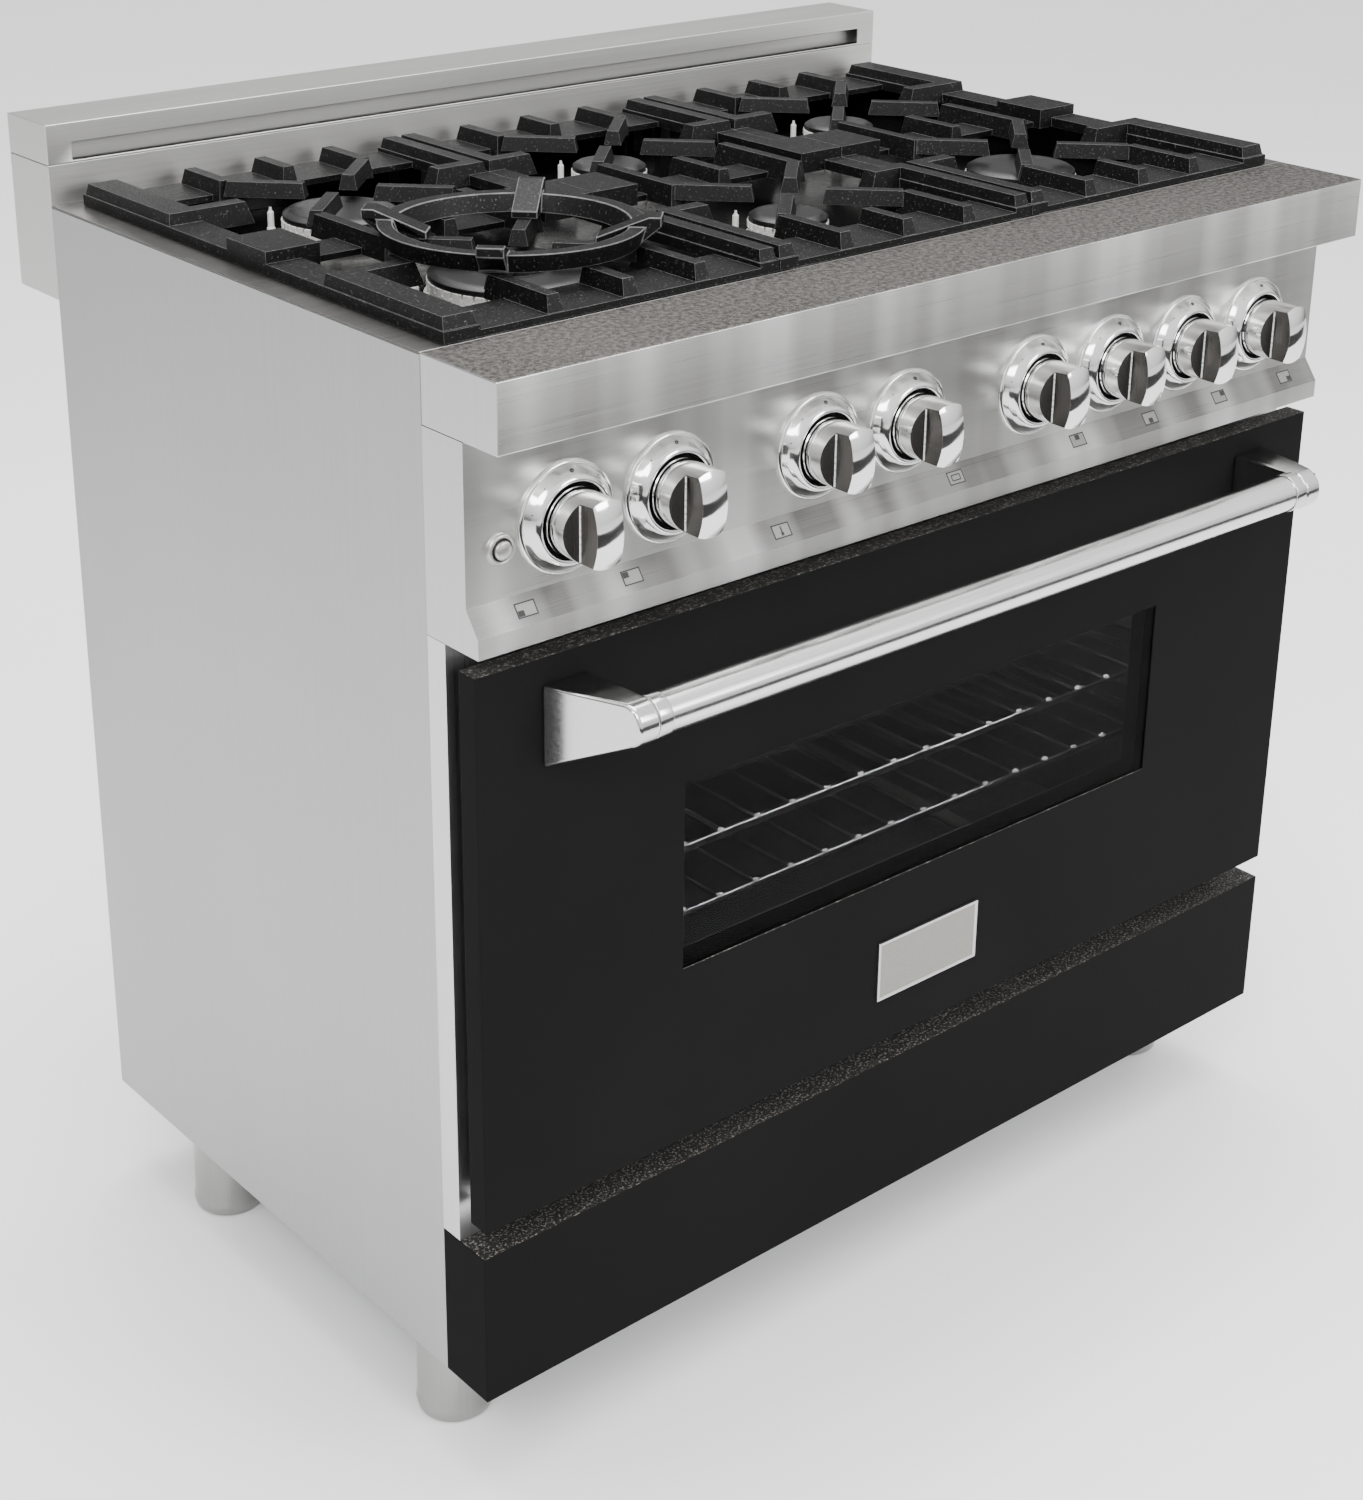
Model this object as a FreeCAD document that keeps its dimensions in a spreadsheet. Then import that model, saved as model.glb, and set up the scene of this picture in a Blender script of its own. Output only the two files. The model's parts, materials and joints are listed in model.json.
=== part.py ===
import FreeCAD, Part
import math
import os
import re
import Sketcher

# Freestanding gas range, 36 inch class, in millimetres.
# +X is to the right of a person facing the range, +Y is towards the wall, +Z is up.
# The origin is on the floor, under the middle of the whole object, handle and flue box included.

Vector = FreeCAD.Vector
Rotation = FreeCAD.Rotation
Placement = FreeCAD.Placement

# ---------------------------------------------------------------- driving dimensions
SIZES = {
    # overall body
    "body_width": 912, "gauge": 1.5, "seam": 0.3,
    "flue_rear": 352, "body_rear": 287, "side_front": -221,
    "frame_front": -242, "fascia_front": -267, "lip_front": -280, "ledge_front": -305,
    "door_front": -273, "door_skin_rear": -254, "door_liner_rear": -247, "gasket_rear": -242.4,
    "kick_front": -272,
    "body_bottom": 88, "kick_top": 217, "door_bottom": 239.5, "door_top": 684.5,
    "lip_bottom": 700, "lip_edge": 715, "fascia_bottom": 733, "ledge_bottom": 850, "cooktop": 900,
    "flue_bottom": 822, "guard_seam": 932, "guard_top": 964, "flange": 18,
    # legs
    "leg_x": 412, "leg_front_y": -166.5, "leg_rear_y": 180.5, "leg_radius": 30, "leg_head_gap": 0.5,
    "stem_radius": 8, "leg_wall": 7, "socket_radius": 16, "socket_top": 132, "thread_play": 0.06,
    # oven cavity and front frame
    "cavity_half": 350, "cavity_front": -239.5, "cavity_rear": 184.5, "cavity_floor": 275, "cavity_roof": 640,
    "liner_wall": 1.2, "mouth_half": 392, "mouth_low": 262, "mouth_high": 664, "frame_low": 217.3,
    "blanket": 28, "burner_tube": 6, "bake_level": 290, "broil_level": 624,
    # fan
    "fan_height": 457, "fan_shaft": 4, "fan_radius": 68, "motor_radius": 38, "running_play": 0.05,
    "fan_cover_half": 105, "fan_cover_front": 140.5, "fan_blade_front": 150.5, "fan_blade_rear": 174.5,
    # racks
    "rack_half": 341, "rack_front": -227.5, "rack_rear": 129.5, "rack_wire": 3.2, "rack_bar": 2.2,
    "rack_low": 404, "rack_high": 461, "guide_wire": 2.6, "guide_x": 344,
    "guide_gap": 0.4, "post_wire": 1.8, "post_x": 348,
    # cooktop
    "tray_half": 430, "tray_front": -218.5, "tray_rear": 271.5, "tray_floor": 873.5, "return_depth": 9,
    "burner_x": 275, "burner_rear_y": 146.5, "burner_front_y": -81.5,
    "small_burner": 33, "large_burner": 48, "wok_burner": 64, "head_height": 15, "cap_height": 7,
    # grates
    "grate_half_outer": 435, "grate_split": 136, "grate_gap": 0.6, "grate_front": -219.5, "grate_rear": 272.5,
    "grate_low": 900.6, "grate_web": 905.5, "grate_rail": 909, "grate_top": 918,
    "outer_bar": 30, "inner_bar": 18, "rib_width": 15, "rib_taper": 2.6, "rib_offset": 66,
    "diagonal_length": 66, "lateral_reach": 85, "stub_length": 52, "pad_half": 27, "pad_width": 46,
    "foot_side": 11,
    # wok ring
    "wok_radius": 99, "wok_bore": 86, "wok_rise": 14, "wok_top": 940, "wok_lug_reach": 110,
    # controls
    "knob_height": 779, "knob_pitch": 92, "knob_group_gap": 142, "first_knob": -372,
    "knob_radius": 24.5, "knob_rear": 3.6, "knob_front": 50, "knob_dome": 5.5,
    "grip_half": 11, "crease_x": 12.5, "crease_y": 32, "shelf_y": 28,
    "bezel_radius": 41, "bezel_bore": 27, "bezel_depth": 12,
    "spindle_radius": 4, "square_drive": 6, "drive_play": 0.05, "spindle_depth": 21.5,
    "lamp_x": -427, "lamp_z": 769, "button_radius": 7, "button_bezel": 11.5,
    # gas supply
    "manifold_radius": 9, "manifold_y": -205.5, "inlet_x": 395, "inlet_z": 150, "inlet_radius": 10.45,
    "inlet_end": 316.5,
    # door
    "door_half": 454.5, "liner_half": 424, "liner_low": 254, "liner_high": 672,
    "window_half": 267, "window_low": 391, "window_high": 547, "glass_lap": 12, "glass_thick": 4,
    "gasket_half": 380, "gasket_low": 264.5, "gasket_high": 660, "gasket_width": 9,
    "hinge_y": -255.5, "hinge_z": 245, "pin_radius": 4, "pin_play": 0.06,
    # handle
    "handle_y": -335.2, "handle_z": 649.7, "bar_radius": 15, "bar_wall": 2, "bar_half": 356.6,
    "bracket_out": 399, "bracket_in": 357.5, "bracket_low": 601, "bracket_high": 664,
    "end_out": 377.5, "end_in": 357, "end_radius": 16.5, "end_bevel": 3,
    # name plate, fasteners
    "plate_half": 58, "plate_low": 281, "plate_high": 335, "plate_proud": 2.2,
    "screw_radius": 4.5, "screw_head": 2.2,
}

doc = FreeCAD.newDocument("gas_range")
sheet = doc.addObject("Spreadsheet::Sheet", "sizes")
for row, (alias, number) in enumerate(SIZES.items(), 1):
    sheet.set(f"A{row}", alias.replace("_", " "))
    sheet.set(f"B{row}", str(number))
    sheet.setAlias(f"B{row}", alias)
doc.recompute()

WORD = re.compile(r"[a-z][a-z0-9_]*")
nodes = []


# ---------------------------------------------------------------- small helpers
def formula(text):
    """Spreadsheet formula in which every size is written by its alias."""
    return WORD.sub(lambda word: "sizes." + word.group() if word.group() in SIZES else word.group(), str(text))


def bind(item, links):
    for path, text in links.items():
        item.setExpression(path, formula(text))
    return item


def place(item, x, y, z):
    return bind(item, {"Placement.Base.x": x, "Placement.Base.y": y, "Placement.Base.z": z})


def node(item, label):
    """Marks an object as one sub-part, which goes to its own file."""
    item.Label = label
    nodes.append(item)
    return item


def block(name, x, y, z):
    """Box between two faces on each axis, each face a formula."""
    box = doc.addObject("Part::Box", name)
    bind(box, {"Length": f"({x[1]}) - ({x[0]})", "Width": f"({y[1]}) - ({y[0]})",
               "Height": f"({z[1]}) - ({z[0]})"})
    return place(box, x[0], y[0], z[0])


TURNS = {"x": Rotation(Vector(0, 1, 0), 90), "y": Rotation(Vector(1, 0, 0), -90), "z": Rotation()}


def rod(name, axis, radius, length, x, y, z):
    """Cylinder that starts at a point and runs along +X, +Y or +Z."""
    cylinder = doc.addObject("Part::Cylinder", name)
    cylinder.Placement = Placement(Vector(), TURNS[axis])
    bind(cylinder, {"Radius": radius, "Height": length})
    return place(cylinder, x, y, z)


def ball(name, radius, x, y, z):
    sphere = doc.addObject("Part::Sphere", name)
    bind(sphere, {"Radius": radius})
    return place(sphere, x, y, z)


def join(name, parts):
    fused = doc.addObject("Part::MultiFuse", name)
    fused.Shapes = parts
    return fused


def group(name, parts):
    """Separate solids that share one node."""
    held = doc.addObject("Part::Compound", name)
    held.Links = parts
    return held


def cut(name, base, tools):
    cutting = doc.addObject("Part::Cut", name)
    cutting.Base = base
    cutting.Tool = tools[0] if len(tools) == 1 else group(name + "_tools", tools)
    return cutting


def mirror(name, source, normal=Vector(1, 0, 0)):
    mirrored = doc.addObject("Part::Mirroring", name)
    mirrored.Source = source
    mirrored.Normal = normal
    return mirrored


def both_sides(name, part):
    return group(name, [part, mirror(name + "_right", part)])


# ---------------------------------------------------------------- part design helpers
def new_body(name):
    return doc.addObject("PartDesign::Body", name)


def new_sketch(body, name, role, lift=None):
    """Sketch on one of the body's own origin planes, lifted along its normal if asked."""
    sketch = body.newObject("Sketcher::SketchObject", name)
    plane = [feature for feature in body.Origin.OriginFeatures if feature.Role == role][0]
    sketch.AttachmentSupport = [(plane, "")]
    sketch.MapMode = "FlatFace"
    if lift is not None:
        bind(sketch, {"AttachmentOffset.Base.z": lift})
    return sketch


def pin_point(sketch, edge, point, x, y):
    """Fixes one end of an edge at two formulas from the sketch's origin."""
    for kind, text in (("DistanceX", x), ("DistanceY", y)):
        index = sketch.addConstraint(Sketcher.Constraint(kind, -1, 1, edge, point, 0.0))
        sketch.setExpression(f"Constraints[{index}]", formula(text))


def outline(sketch, corners):
    """Closed outline of straight edges, its corners given as pairs of formulas."""
    first = sketch.GeometryCount
    count = len(corners)
    spots = [Vector(10 * math.cos(2 * math.pi * i / count), 10 * math.sin(2 * math.pi * i / count), 0)
             for i in range(count)]
    for i in range(count):
        sketch.addGeometry(Part.LineSegment(spots[i], spots[(i + 1) % count]), False)
    for i in range(count):
        following = first + (i + 1) % count
        sketch.addConstraint(Sketcher.Constraint("Coincident", first + i, 2, following, 1))
    for i, (x, y) in enumerate(corners):
        pin_point(sketch, first + i, 1, x, y)


def circle(sketch, radius, x="0", y="0"):
    edge = sketch.addGeometry(Part.Circle(Vector(0, 0, 0), Vector(0, 0, 1), 5), False)
    pin_point(sketch, edge, 3, x, y)
    index = sketch.addConstraint(Sketcher.Constraint("Radius", edge, 5.0))
    sketch.setExpression(f"Constraints[{index}]", formula(radius))


def pad(body, sketch, length, midplane=False, reverse=False):
    feature = body.newObject("PartDesign::Pad", sketch.Name + "_pad")
    feature.Profile = sketch
    feature.SideType = "Symmetric" if midplane else "One side"
    feature.Reversed = reverse
    bind(feature, {"Length": length})
    return feature


def pocket(body, sketch, length, midplane=False, reverse=False):
    feature = body.newObject("PartDesign::Pocket", sketch.Name + "_pocket")
    feature.Profile = sketch
    feature.SideType = "Symmetric" if midplane else "One side"
    feature.Reversed = reverse
    bind(feature, {"Length": length})
    return feature


def around(body, feature, sketch, count):
    """Repeats a feature round the axis that is normal to its sketch."""
    pattern = body.newObject("PartDesign::PolarPattern", feature.Name + "_pattern")
    pattern.Originals = [feature]
    pattern.Axis = (sketch, ["N_Axis"])
    pattern.Angle = 360
    pattern.Occurrences = count
    body.Tip = pattern
    return pattern


def turned(name, axis, corners):
    """Body turned about its own X, Y or Z; corners are (distance along the axis, radius)."""
    body = new_body(name)
    role = {"x": "XY_Plane", "y": "YZ_Plane", "z": "XZ_Plane"}[axis]
    sketch = new_sketch(body, name + "_profile", role)
    outline(sketch, [(radius, along) for along, radius in corners] if axis == "z" else corners)
    feature = body.newObject("PartDesign::Revolution", name + "_turning")
    feature.Profile = sketch
    feature.ReferenceAxis = (sketch, ["V_Axis" if axis == "z" else "H_Axis"])
    feature.Angle = 360
    return body


def folded(name, corners, width):
    """Sheet profile drawn in the Y-Z plane and padded evenly about the middle."""
    body = new_body(name)
    sketch = new_sketch(body, name + "_profile", "YZ_Plane")
    outline(sketch, corners)
    pad(body, sketch, width, midplane=True)
    return body


HALF = "body_width / 2"


# ---------------------------------------------------------------- cabinet
def side_panels():
    """Plain outer side with a return flange at the front and at the rear."""
    body = new_body("side_left")
    sketch = new_sketch(body, "side_left_profile", "XY_Plane", "body_bottom")
    skin = f"-{HALF} + gauge"
    lip = f"-{HALF} + flange"
    outline(sketch, [(f"-{HALF}", "side_front"), (lip, "side_front"), (lip, "side_front + gauge"),
                     (skin, "side_front + gauge"), (skin, "body_rear - gauge"), (lip, "body_rear - gauge"),
                     (lip, "body_rear"), (f"-{HALF}", "body_rear")])
    pad(body, sketch, "cooktop - gauge - body_bottom")
    node(body, "side_panel_left")
    node(mirror("side_right", body), "side_panel_right")


def rear_panel():
    inner = f"{HALF} - flange"
    sheet_plate = block("rear_sheet", (f"-({inner})", inner), ("body_rear - gauge", "body_rear"),
                        ("body_bottom + gauge", "cooktop - gauge"))
    holes = [rod("rear_inlet_hole", "y", "inlet_radius + 4", "10", "inlet_x", "body_rear - 5", "inlet_z"),
             rod("rear_supply_hole", "y", "11", "10", "-inlet_x", "body_rear - 5", "inlet_z")]
    holes += [block(f"rear_louvre_{i}", ("-150", "150"), ("body_rear - 5", "body_rear + 5"),
                    (f"600 + {i} * 22", f"606 + {i} * 22")) for i in range(6)]
    node(cut("rear_cut", sheet_plate, holes), "rear_panel")


def leg_spots():
    for front, y in (("front", "leg_front_y"), ("rear", "leg_rear_y")):
        for side, x in (("left", "-leg_x"), ("right", "leg_x")):
            yield f"leg_{front}_{side}", x, y


def base_pan():
    """Bottom of the cabinet, with a threaded boss over each leg."""
    inner = f"{HALF} - gauge"
    solids = [block("base_sheet", (f"-({inner})", inner), ("side_front + gauge", "body_rear - gauge"),
                    ("body_bottom", "body_bottom + gauge"))]
    bores = []
    for name, x, y in leg_spots():
        solids.append(rod(name + "_boss", "z", "socket_radius", "socket_top - body_bottom", x, y, "body_bottom"))
        bores.append(rod(name + "_bore", "z", "stem_radius + thread_play", "socket_top", x, y, "body_bottom - 10"))
    node(cut("base_cut", join("base_solid", solids), bores), "base_pan")


def legs():
    """Hollow turned foot with a screw stem; it lowers by unscrewing."""
    for name, x, y in leg_spots():
        head = "body_bottom - leg_head_gap"
        body = turned(name + "_body", "z", [
            ("0", "leg_radius - 3 - leg_wall"), ("0", "leg_radius - 3"), ("3", "leg_radius"),
            ("9", "leg_radius + 1"), ("16", "leg_radius"), (head, "leg_radius - 1"), (head, "stem_radius"),
            ("socket_top - 5", "stem_radius"), ("socket_top - 5", "0"), (f"{head} - leg_wall", "0"),
            (f"{head} - leg_wall", "leg_radius - 3 - leg_wall")])
        place(body, x, y, "0")
        node(body, name)


def front_frame():
    """Stainless frame round the oven mouth, with the pins that the door hangs on."""
    outer = block("frame_outer", (f"-{HALF}", HALF), ("frame_front", "side_front - seam"),
                  ("frame_low", "lip_bottom - seam"))
    mouth = block("frame_mouth", ("-mouth_half", "mouth_half"), ("frame_front - 5", "side_front + 5"),
                  ("mouth_low", "mouth_high"))
    hollow = cut("frame_hollow", block("frame_inside", (f"-{HALF} + gauge", f"{HALF} - gauge"),
                                       ("frame_front + gauge", "side_front + 5"),
                                       ("frame_low + gauge", "lip_bottom - seam - gauge")),
                 [block("frame_inner_wall", ("-mouth_half - gauge", "mouth_half + gauge"),
                        ("frame_front", "side_front + 6"), ("mouth_low - gauge", "mouth_high + gauge"))])
    shell = cut("frame_shell", outer, [mouth, hollow])
    ears = []
    for side, sign in (("left", "-1"), ("right", "1")):
        near, far = (f"{sign} * 427", f"{sign} * 432")
        low, high = (far, near) if sign == "-1" else (near, far)
        ears.append(block(f"hinge_ear_{side}", (low, high), ("hinge_y - 5", "frame_front + gauge"),
                          ("hinge_z - 5", "hinge_z + 5")))
        start = "-430" if sign == "-1" else "404"
        ears.append(rod(f"hinge_pin_{side}", "x", "pin_radius", "26", start, "hinge_y", "hinge_z"))
    node(join("frame_joined", [shell] + ears), "front_frame")


def kick_panel():
    sheet_profile = folded("kick_sheet", [
        ("side_front - seam", "body_bottom"), ("kick_front", "body_bottom"), ("kick_front", "kick_top"),
        ("side_front - seam", "kick_top"), ("side_front - seam", "kick_top - gauge"),
        ("kick_front + gauge", "kick_top - gauge"), ("kick_front + gauge", "body_bottom + gauge"),
        ("side_front - seam", "body_bottom + gauge")], "body_width")
    end = block("kick_end", (f"-{HALF}", f"-{HALF} + gauge"), ("kick_front", "side_front - seam"),
                ("body_bottom", "kick_top"))
    node(join("kick_joined", [sheet_profile, end, mirror("kick_end_right", end)]), "kick_panel")


# ---------------------------------------------------------------- oven
def oven_liner():
    wall = "liner_wall"
    outer = block("liner_outer", (f"-cavity_half - {wall}", f"cavity_half + {wall}"),
                  ("cavity_front", f"cavity_rear + {wall}"), (f"cavity_floor - {wall}", f"cavity_roof + {wall}"))
    collar = block("liner_collar", ("-mouth_half + seam", "mouth_half - seam"), ("cavity_front", f"cavity_front + {wall}"),
                   ("mouth_low + seam", "mouth_high - seam"))
    hollow = block("liner_hollow", ("-cavity_half", "cavity_half"), ("cavity_front - 5", "cavity_rear"),
                   ("cavity_floor", "cavity_roof"))
    shaft_hole = rod("liner_shaft_hole", "y", "12", "20", "0", "cavity_rear - 8", "fan_height")
    node(cut("liner_cut", join("liner_solid", [outer, collar]), [hollow, shaft_hole]), "oven_liner")


def insulation():
    wall = "liner_wall + 0.6"
    thick = f"{wall} + blanket"
    outer = block("blanket_outer", (f"-cavity_half - ({thick})", f"cavity_half + {thick}"),
                  ("side_front + 4", f"cavity_rear + {thick}"), (f"cavity_floor - ({thick})", f"cavity_roof + {thick}"))
    inner = block("blanket_inner", (f"-cavity_half - ({wall})", f"cavity_half + {wall}"),
                  ("side_front", f"cavity_rear + {wall}"), (f"cavity_floor - ({wall})", f"cavity_roof + {wall}"))
    hole = rod("blanket_motor_hole", "y", "motor_radius + 6", "60", "0", "cavity_rear", "fan_height")
    node(cut("blanket_cut", outer, [inner, hole]), "oven_insulation")


def oven_burners():
    """One U-shaped gas tube over the floor and one under the roof."""
    tubes = []
    for name, level, reach, rear in (("bake", "bake_level", "210", "40"), ("broil", "broil_level", "180", "60")):
        front = "-170"
        parts = [rod(f"{name}_left", "y", "burner_tube", f"{rear} - ({front})", f"-{reach}", front, level),
                 rod(f"{name}_right", "y", "burner_tube", f"cavity_rear - ({front})", reach, front, level),
                 rod(f"{name}_cross", "x", "burner_tube", f"2 * {reach}", f"-{reach}", front, level),
                 ball(f"{name}_corner_left", "burner_tube", f"-{reach}", front, level),
                 ball(f"{name}_corner_right", "burner_tube", reach, front, level)]
        tubes.append(join(f"{name}_tube", parts))
    node(group("oven_tubes", tubes), "oven_burners")


def fan():
    case = rod("motor_case", "y", "motor_radius", "42", "0", "cavity_rear + liner_wall + 0.5", "fan_height")
    shaft = rod("motor_shaft", "y", "fan_shaft", "cavity_rear + 10 - fan_blade_front", "0", "fan_blade_front + 1",
                "fan_height")
    node(join("motor_joined", [case, shaft]), "fan_motor")

    impeller = new_body("impeller")
    hub = new_sketch(impeller, "impeller_hub", "XZ_Plane")
    circle(hub, "12")
    circle(hub, "fan_shaft + running_play")
    pad(impeller, hub, "fan_blade_rear - fan_blade_front", reverse=True)
    disc = new_sketch(impeller, "impeller_disc", "XZ_Plane", "-(fan_blade_rear - fan_blade_front)")
    circle(disc, "fan_radius")
    circle(disc, "11")
    pad(impeller, disc, "1.2")
    blade = new_sketch(impeller, "impeller_blade", "XZ_Plane")
    outline(blade, [("10", "-0.7"), ("fan_radius - 2", "9"), ("fan_radius - 2", "10.6"), ("10", "0.9")])
    feature = pad(impeller, blade, "fan_blade_rear - fan_blade_front", reverse=True)
    around(impeller, feature, blade, 8)
    place(impeller, "0", "fan_blade_front", "fan_height")
    node(impeller, "fan_impeller")

    cover = new_body("cover")
    face = new_sketch(cover, "cover_face", "XZ_Plane")
    reach = "fan_cover_half"
    outline(face, [(f"-{reach}", f"-{reach}"), (reach, f"-{reach}"), (reach, reach), (f"-{reach}", reach)])
    pad(cover, face, "cavity_rear - fan_cover_front - seam", reverse=True)
    inside = new_sketch(cover, "cover_inside", "XZ_Plane", "-(cavity_rear - fan_cover_front)")
    inner = "fan_cover_half - liner_wall"
    outline(inside, [(f"-({inner})", f"-({inner})"), (inner, f"-({inner})"), (inner, inner), (f"-({inner})", inner)])
    pocket(cover, inside, "cavity_rear - fan_cover_front - liner_wall", reverse=True)
    slot = new_sketch(cover, "cover_slot", "XZ_Plane")
    outline(slot, [("22", "-3"), ("62", "-5"), ("62", "5"), ("22", "3")])
    feature = pocket(cover, slot, "10", midplane=True)
    around(cover, feature, slot, 12)
    place(cover, "0", "fan_cover_front", "fan_height")
    node(cover, "fan_cover")


def oven_lamp():
    lens = turned("lamp_lens", "y", [("-0.4", "0"), ("-0.4", "24"), ("-4", "24"), ("-6", "19"), ("-15", "16"),
                                     ("-20", "9"), ("-21", "0")])
    place(lens, "-260", "cavity_rear", "cavity_roof - 60")
    node(lens, "oven_lamp")


def rack_guides():
    """Wire ladders on both cavity walls; the racks slide between their rungs."""
    rungs = []
    for i, level in enumerate(("rack_low", "rack_high")):
        for j, offset in enumerate((f"-(rack_wire + guide_wire + guide_gap)", f"rack_wire + guide_wire + guide_gap + 8")):
            rungs.append(rod(f"guide_rung_{i}{j}", "y", "guide_wire", "cavity_rear - 25 - (rack_front - 4)",
                             "-guide_x", "rack_front - 4", f"{level} + ({offset})"))
    for i, y in enumerate(("rack_front + 20", "cavity_rear - 60")):
        rungs.append(rod(f"guide_post_{i}", "z", "post_wire", "cavity_roof - cavity_floor - 60", "-post_x", y,
                         "cavity_floor + 30"))
    ladder = join("guide_ladder", rungs)
    node(both_sides("guide_pair", ladder), "rack_guides")


def oven_rack(name, level):
    """Chromed wire shelf: frame, a raised rear rail, long wires and cross wires."""
    half = "rack_half"
    low = f"{level} - rack_wire - rack_bar + 1"
    parts = [rod(name + "_front", "x", "rack_wire", f"2 * {half}", f"-{half}", "rack_front", level),
             rod(name + "_rear", "x", "rack_wire", f"2 * {half}", f"-{half}", "rack_rear", level)]
    for side, x in (("left", f"-{half}"), ("right", half)):
        parts.append(rod(f"{name}_{side}", "y", "rack_wire", "rack_rear - rack_front", x, "rack_front", level))
        parts.append(ball(f"{name}_{side}_front", "rack_wire", x, "rack_front", level))
        parts.append(ball(f"{name}_{side}_rear", "rack_wire", x, "rack_rear", level))
    for i in range(1, 18):
        parts.append(rod(f"{name}_wire_{i}", "y", "rack_bar", "rack_rear - rack_front",
                         f"-{half} + {i} * 2 * {half} / 18", "rack_front", level))
    for i in range(1, 4):
        parts.append(rod(f"{name}_cross_{i}", "x", "rack_wire", f"2 * {half} - 4", f"-{half} + 2",
                         f"rack_front + {i} * (rack_rear - rack_front) / 4", low))
    node(join(name + "_joined", parts), name)


# ---------------------------------------------------------------- cooktop
def cooktop_surround():
    """Stainless border of the cooktop, turned down round the burner tray."""
    plate = block("surround_plate", (f"-{HALF}", HALF), ("side_front", "body_rear"), ("cooktop - gauge", "cooktop"))
    skirt = block("surround_skirt", ("-tray_half - gauge", "tray_half + gauge"),
                  ("tray_front - gauge", "tray_rear + gauge"), ("cooktop - return_depth", "cooktop - gauge / 2"))
    opening = block("surround_opening", ("-tray_half", "tray_half"), ("tray_front", "tray_rear"),
                    ("cooktop - 20", "cooktop + 5"))
    node(cut("surround_cut", join("surround_solid", [plate, skirt]), [opening]), "cooktop_surround")


BURNERS = (("rear_left", "-burner_x", "burner_rear_y", "large_burner"),
           ("rear_middle", "0", "burner_rear_y", "small_burner"),
           ("rear_right", "burner_x", "burner_rear_y", "small_burner"),
           ("front_left", "-burner_x", "burner_front_y", "wok_burner"),
           ("front_middle", "0", "burner_front_y", "small_burner"),
           ("front_right", "burner_x", "burner_front_y", "large_burner"))


def burner_tray():
    """Enamelled pan with a raised seat round each burner."""
    wall = "gauge"
    outer = block("tray_outer", ("-tray_half + 0.5", "tray_half - 0.5"), ("tray_front + 0.5", "tray_rear - 0.5"),
                  (f"tray_floor - {wall}", "cooktop - gauge"))
    hollow = block("tray_hollow", (f"-tray_half + 0.5 + {wall}", f"tray_half - 0.5 - {wall}"),
                   (f"tray_front + 0.5 + {wall}", f"tray_rear - 0.5 - {wall}"), ("tray_floor", "cooktop + 5"))
    pan = cut("tray_pan", outer, [hollow])
    seats = []
    holes = []
    for name, x, y, radius in BURNERS:
        cone = doc.addObject("Part::Cone", f"seat_{name}")
        bind(cone, {"Radius1": f"{radius} + 16", "Radius2": f"{radius} + 6", "Height": "3"})
        seats.append(place(cone, x, y, "tray_floor - gauge / 2"))
        holes.append(rod(f"seat_hole_{name}", "z", f"{radius} - 12", "30", x, y, "tray_floor - 15"))
    node(cut("tray_cut", join("tray_joined", [pan] + seats), holes), "burner_tray")


SEAT_TOP = "tray_floor - gauge / 2 + 3"


def burner_heads():
    """Bright heads with flame ports cut round the rim."""
    heads = []
    for name, x, y, radius in BURNERS:
        body = turned(f"head_{name}", "z", [
            ("0", f"{radius} - 16"), ("0", f"{radius} + 2"), ("4", f"{radius} + 2"), ("6", f"{radius} - 1"),
            ("head_height - 6", f"{radius} - 1"), ("head_height - 5", f"{radius}"), ("head_height", f"{radius}"),
            ("head_height", f"{radius} - 16")])
        port = new_sketch(body, f"port_{name}", "XY_Plane", "head_height")
        outline(port, [(f"{radius} - 8", "-0.9"), (f"{radius} + 3", "-0.9"), (f"{radius} + 3", "0.9"),
                       (f"{radius} - 8", "0.9")])
        feature = pocket(body, port, "4.5")
        around(body, feature, port, 28 if radius == "small_burner" else 40)
        heads.append(place(body, x, y, SEAT_TOP))
    node(group("heads", heads), "burner_heads")


def burner_caps():
    caps = []
    for name, x, y, radius in BURNERS:
        edge = f"{radius} - 1"
        body = turned(f"cap_{name}", "z", [
            ("0", "0"), ("0", f"{edge}"), ("cap_height * 0.55", f"{edge}"), ("cap_height * 0.9", f"{edge} - 4"),
            ("cap_height", f"{edge} - 9"), ("cap_height - 1", f"{edge} - 16"), ("cap_height - 1", "0")])
        caps.append(place(body, x, y, f"{SEAT_TOP} + head_height + 0.2"))
    crown = turned("cap_wok_crown", "z", [("0", "0"), ("0", "26"), ("4", "26"), ("6", "22"), ("6", "0")])
    caps[3] = join("cap_wok_joined", [caps[3], place(crown, "-burner_x", "burner_front_y",
                                                     f"{SEAT_TOP} + head_height + cap_height - 1")])
    node(group("caps", caps), "burner_caps")


def igniters():
    """Ceramic spark posts, each with a steel tip, beside the burner heads."""
    lead = math.radians(138)
    posts = []
    for name, x, y, radius in BURNERS:
        body = turned(f"spark_{name}", "z", [
            ("0", "0"), ("0", "3.4"), ("5", "3.4"), ("6", "2.6"), ("18", "2.6"), ("19.5", "1.2"), ("22", "1"),
            ("22", "0")])
        reach = f"({radius} + 9)"
        posts.append(place(body, f"{x} + {reach} * {math.cos(lead):.4f}", f"{y} + {reach} * {math.sin(lead):.4f}",
                           SEAT_TOP))
    node(group("sparks", posts), "igniters")


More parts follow.
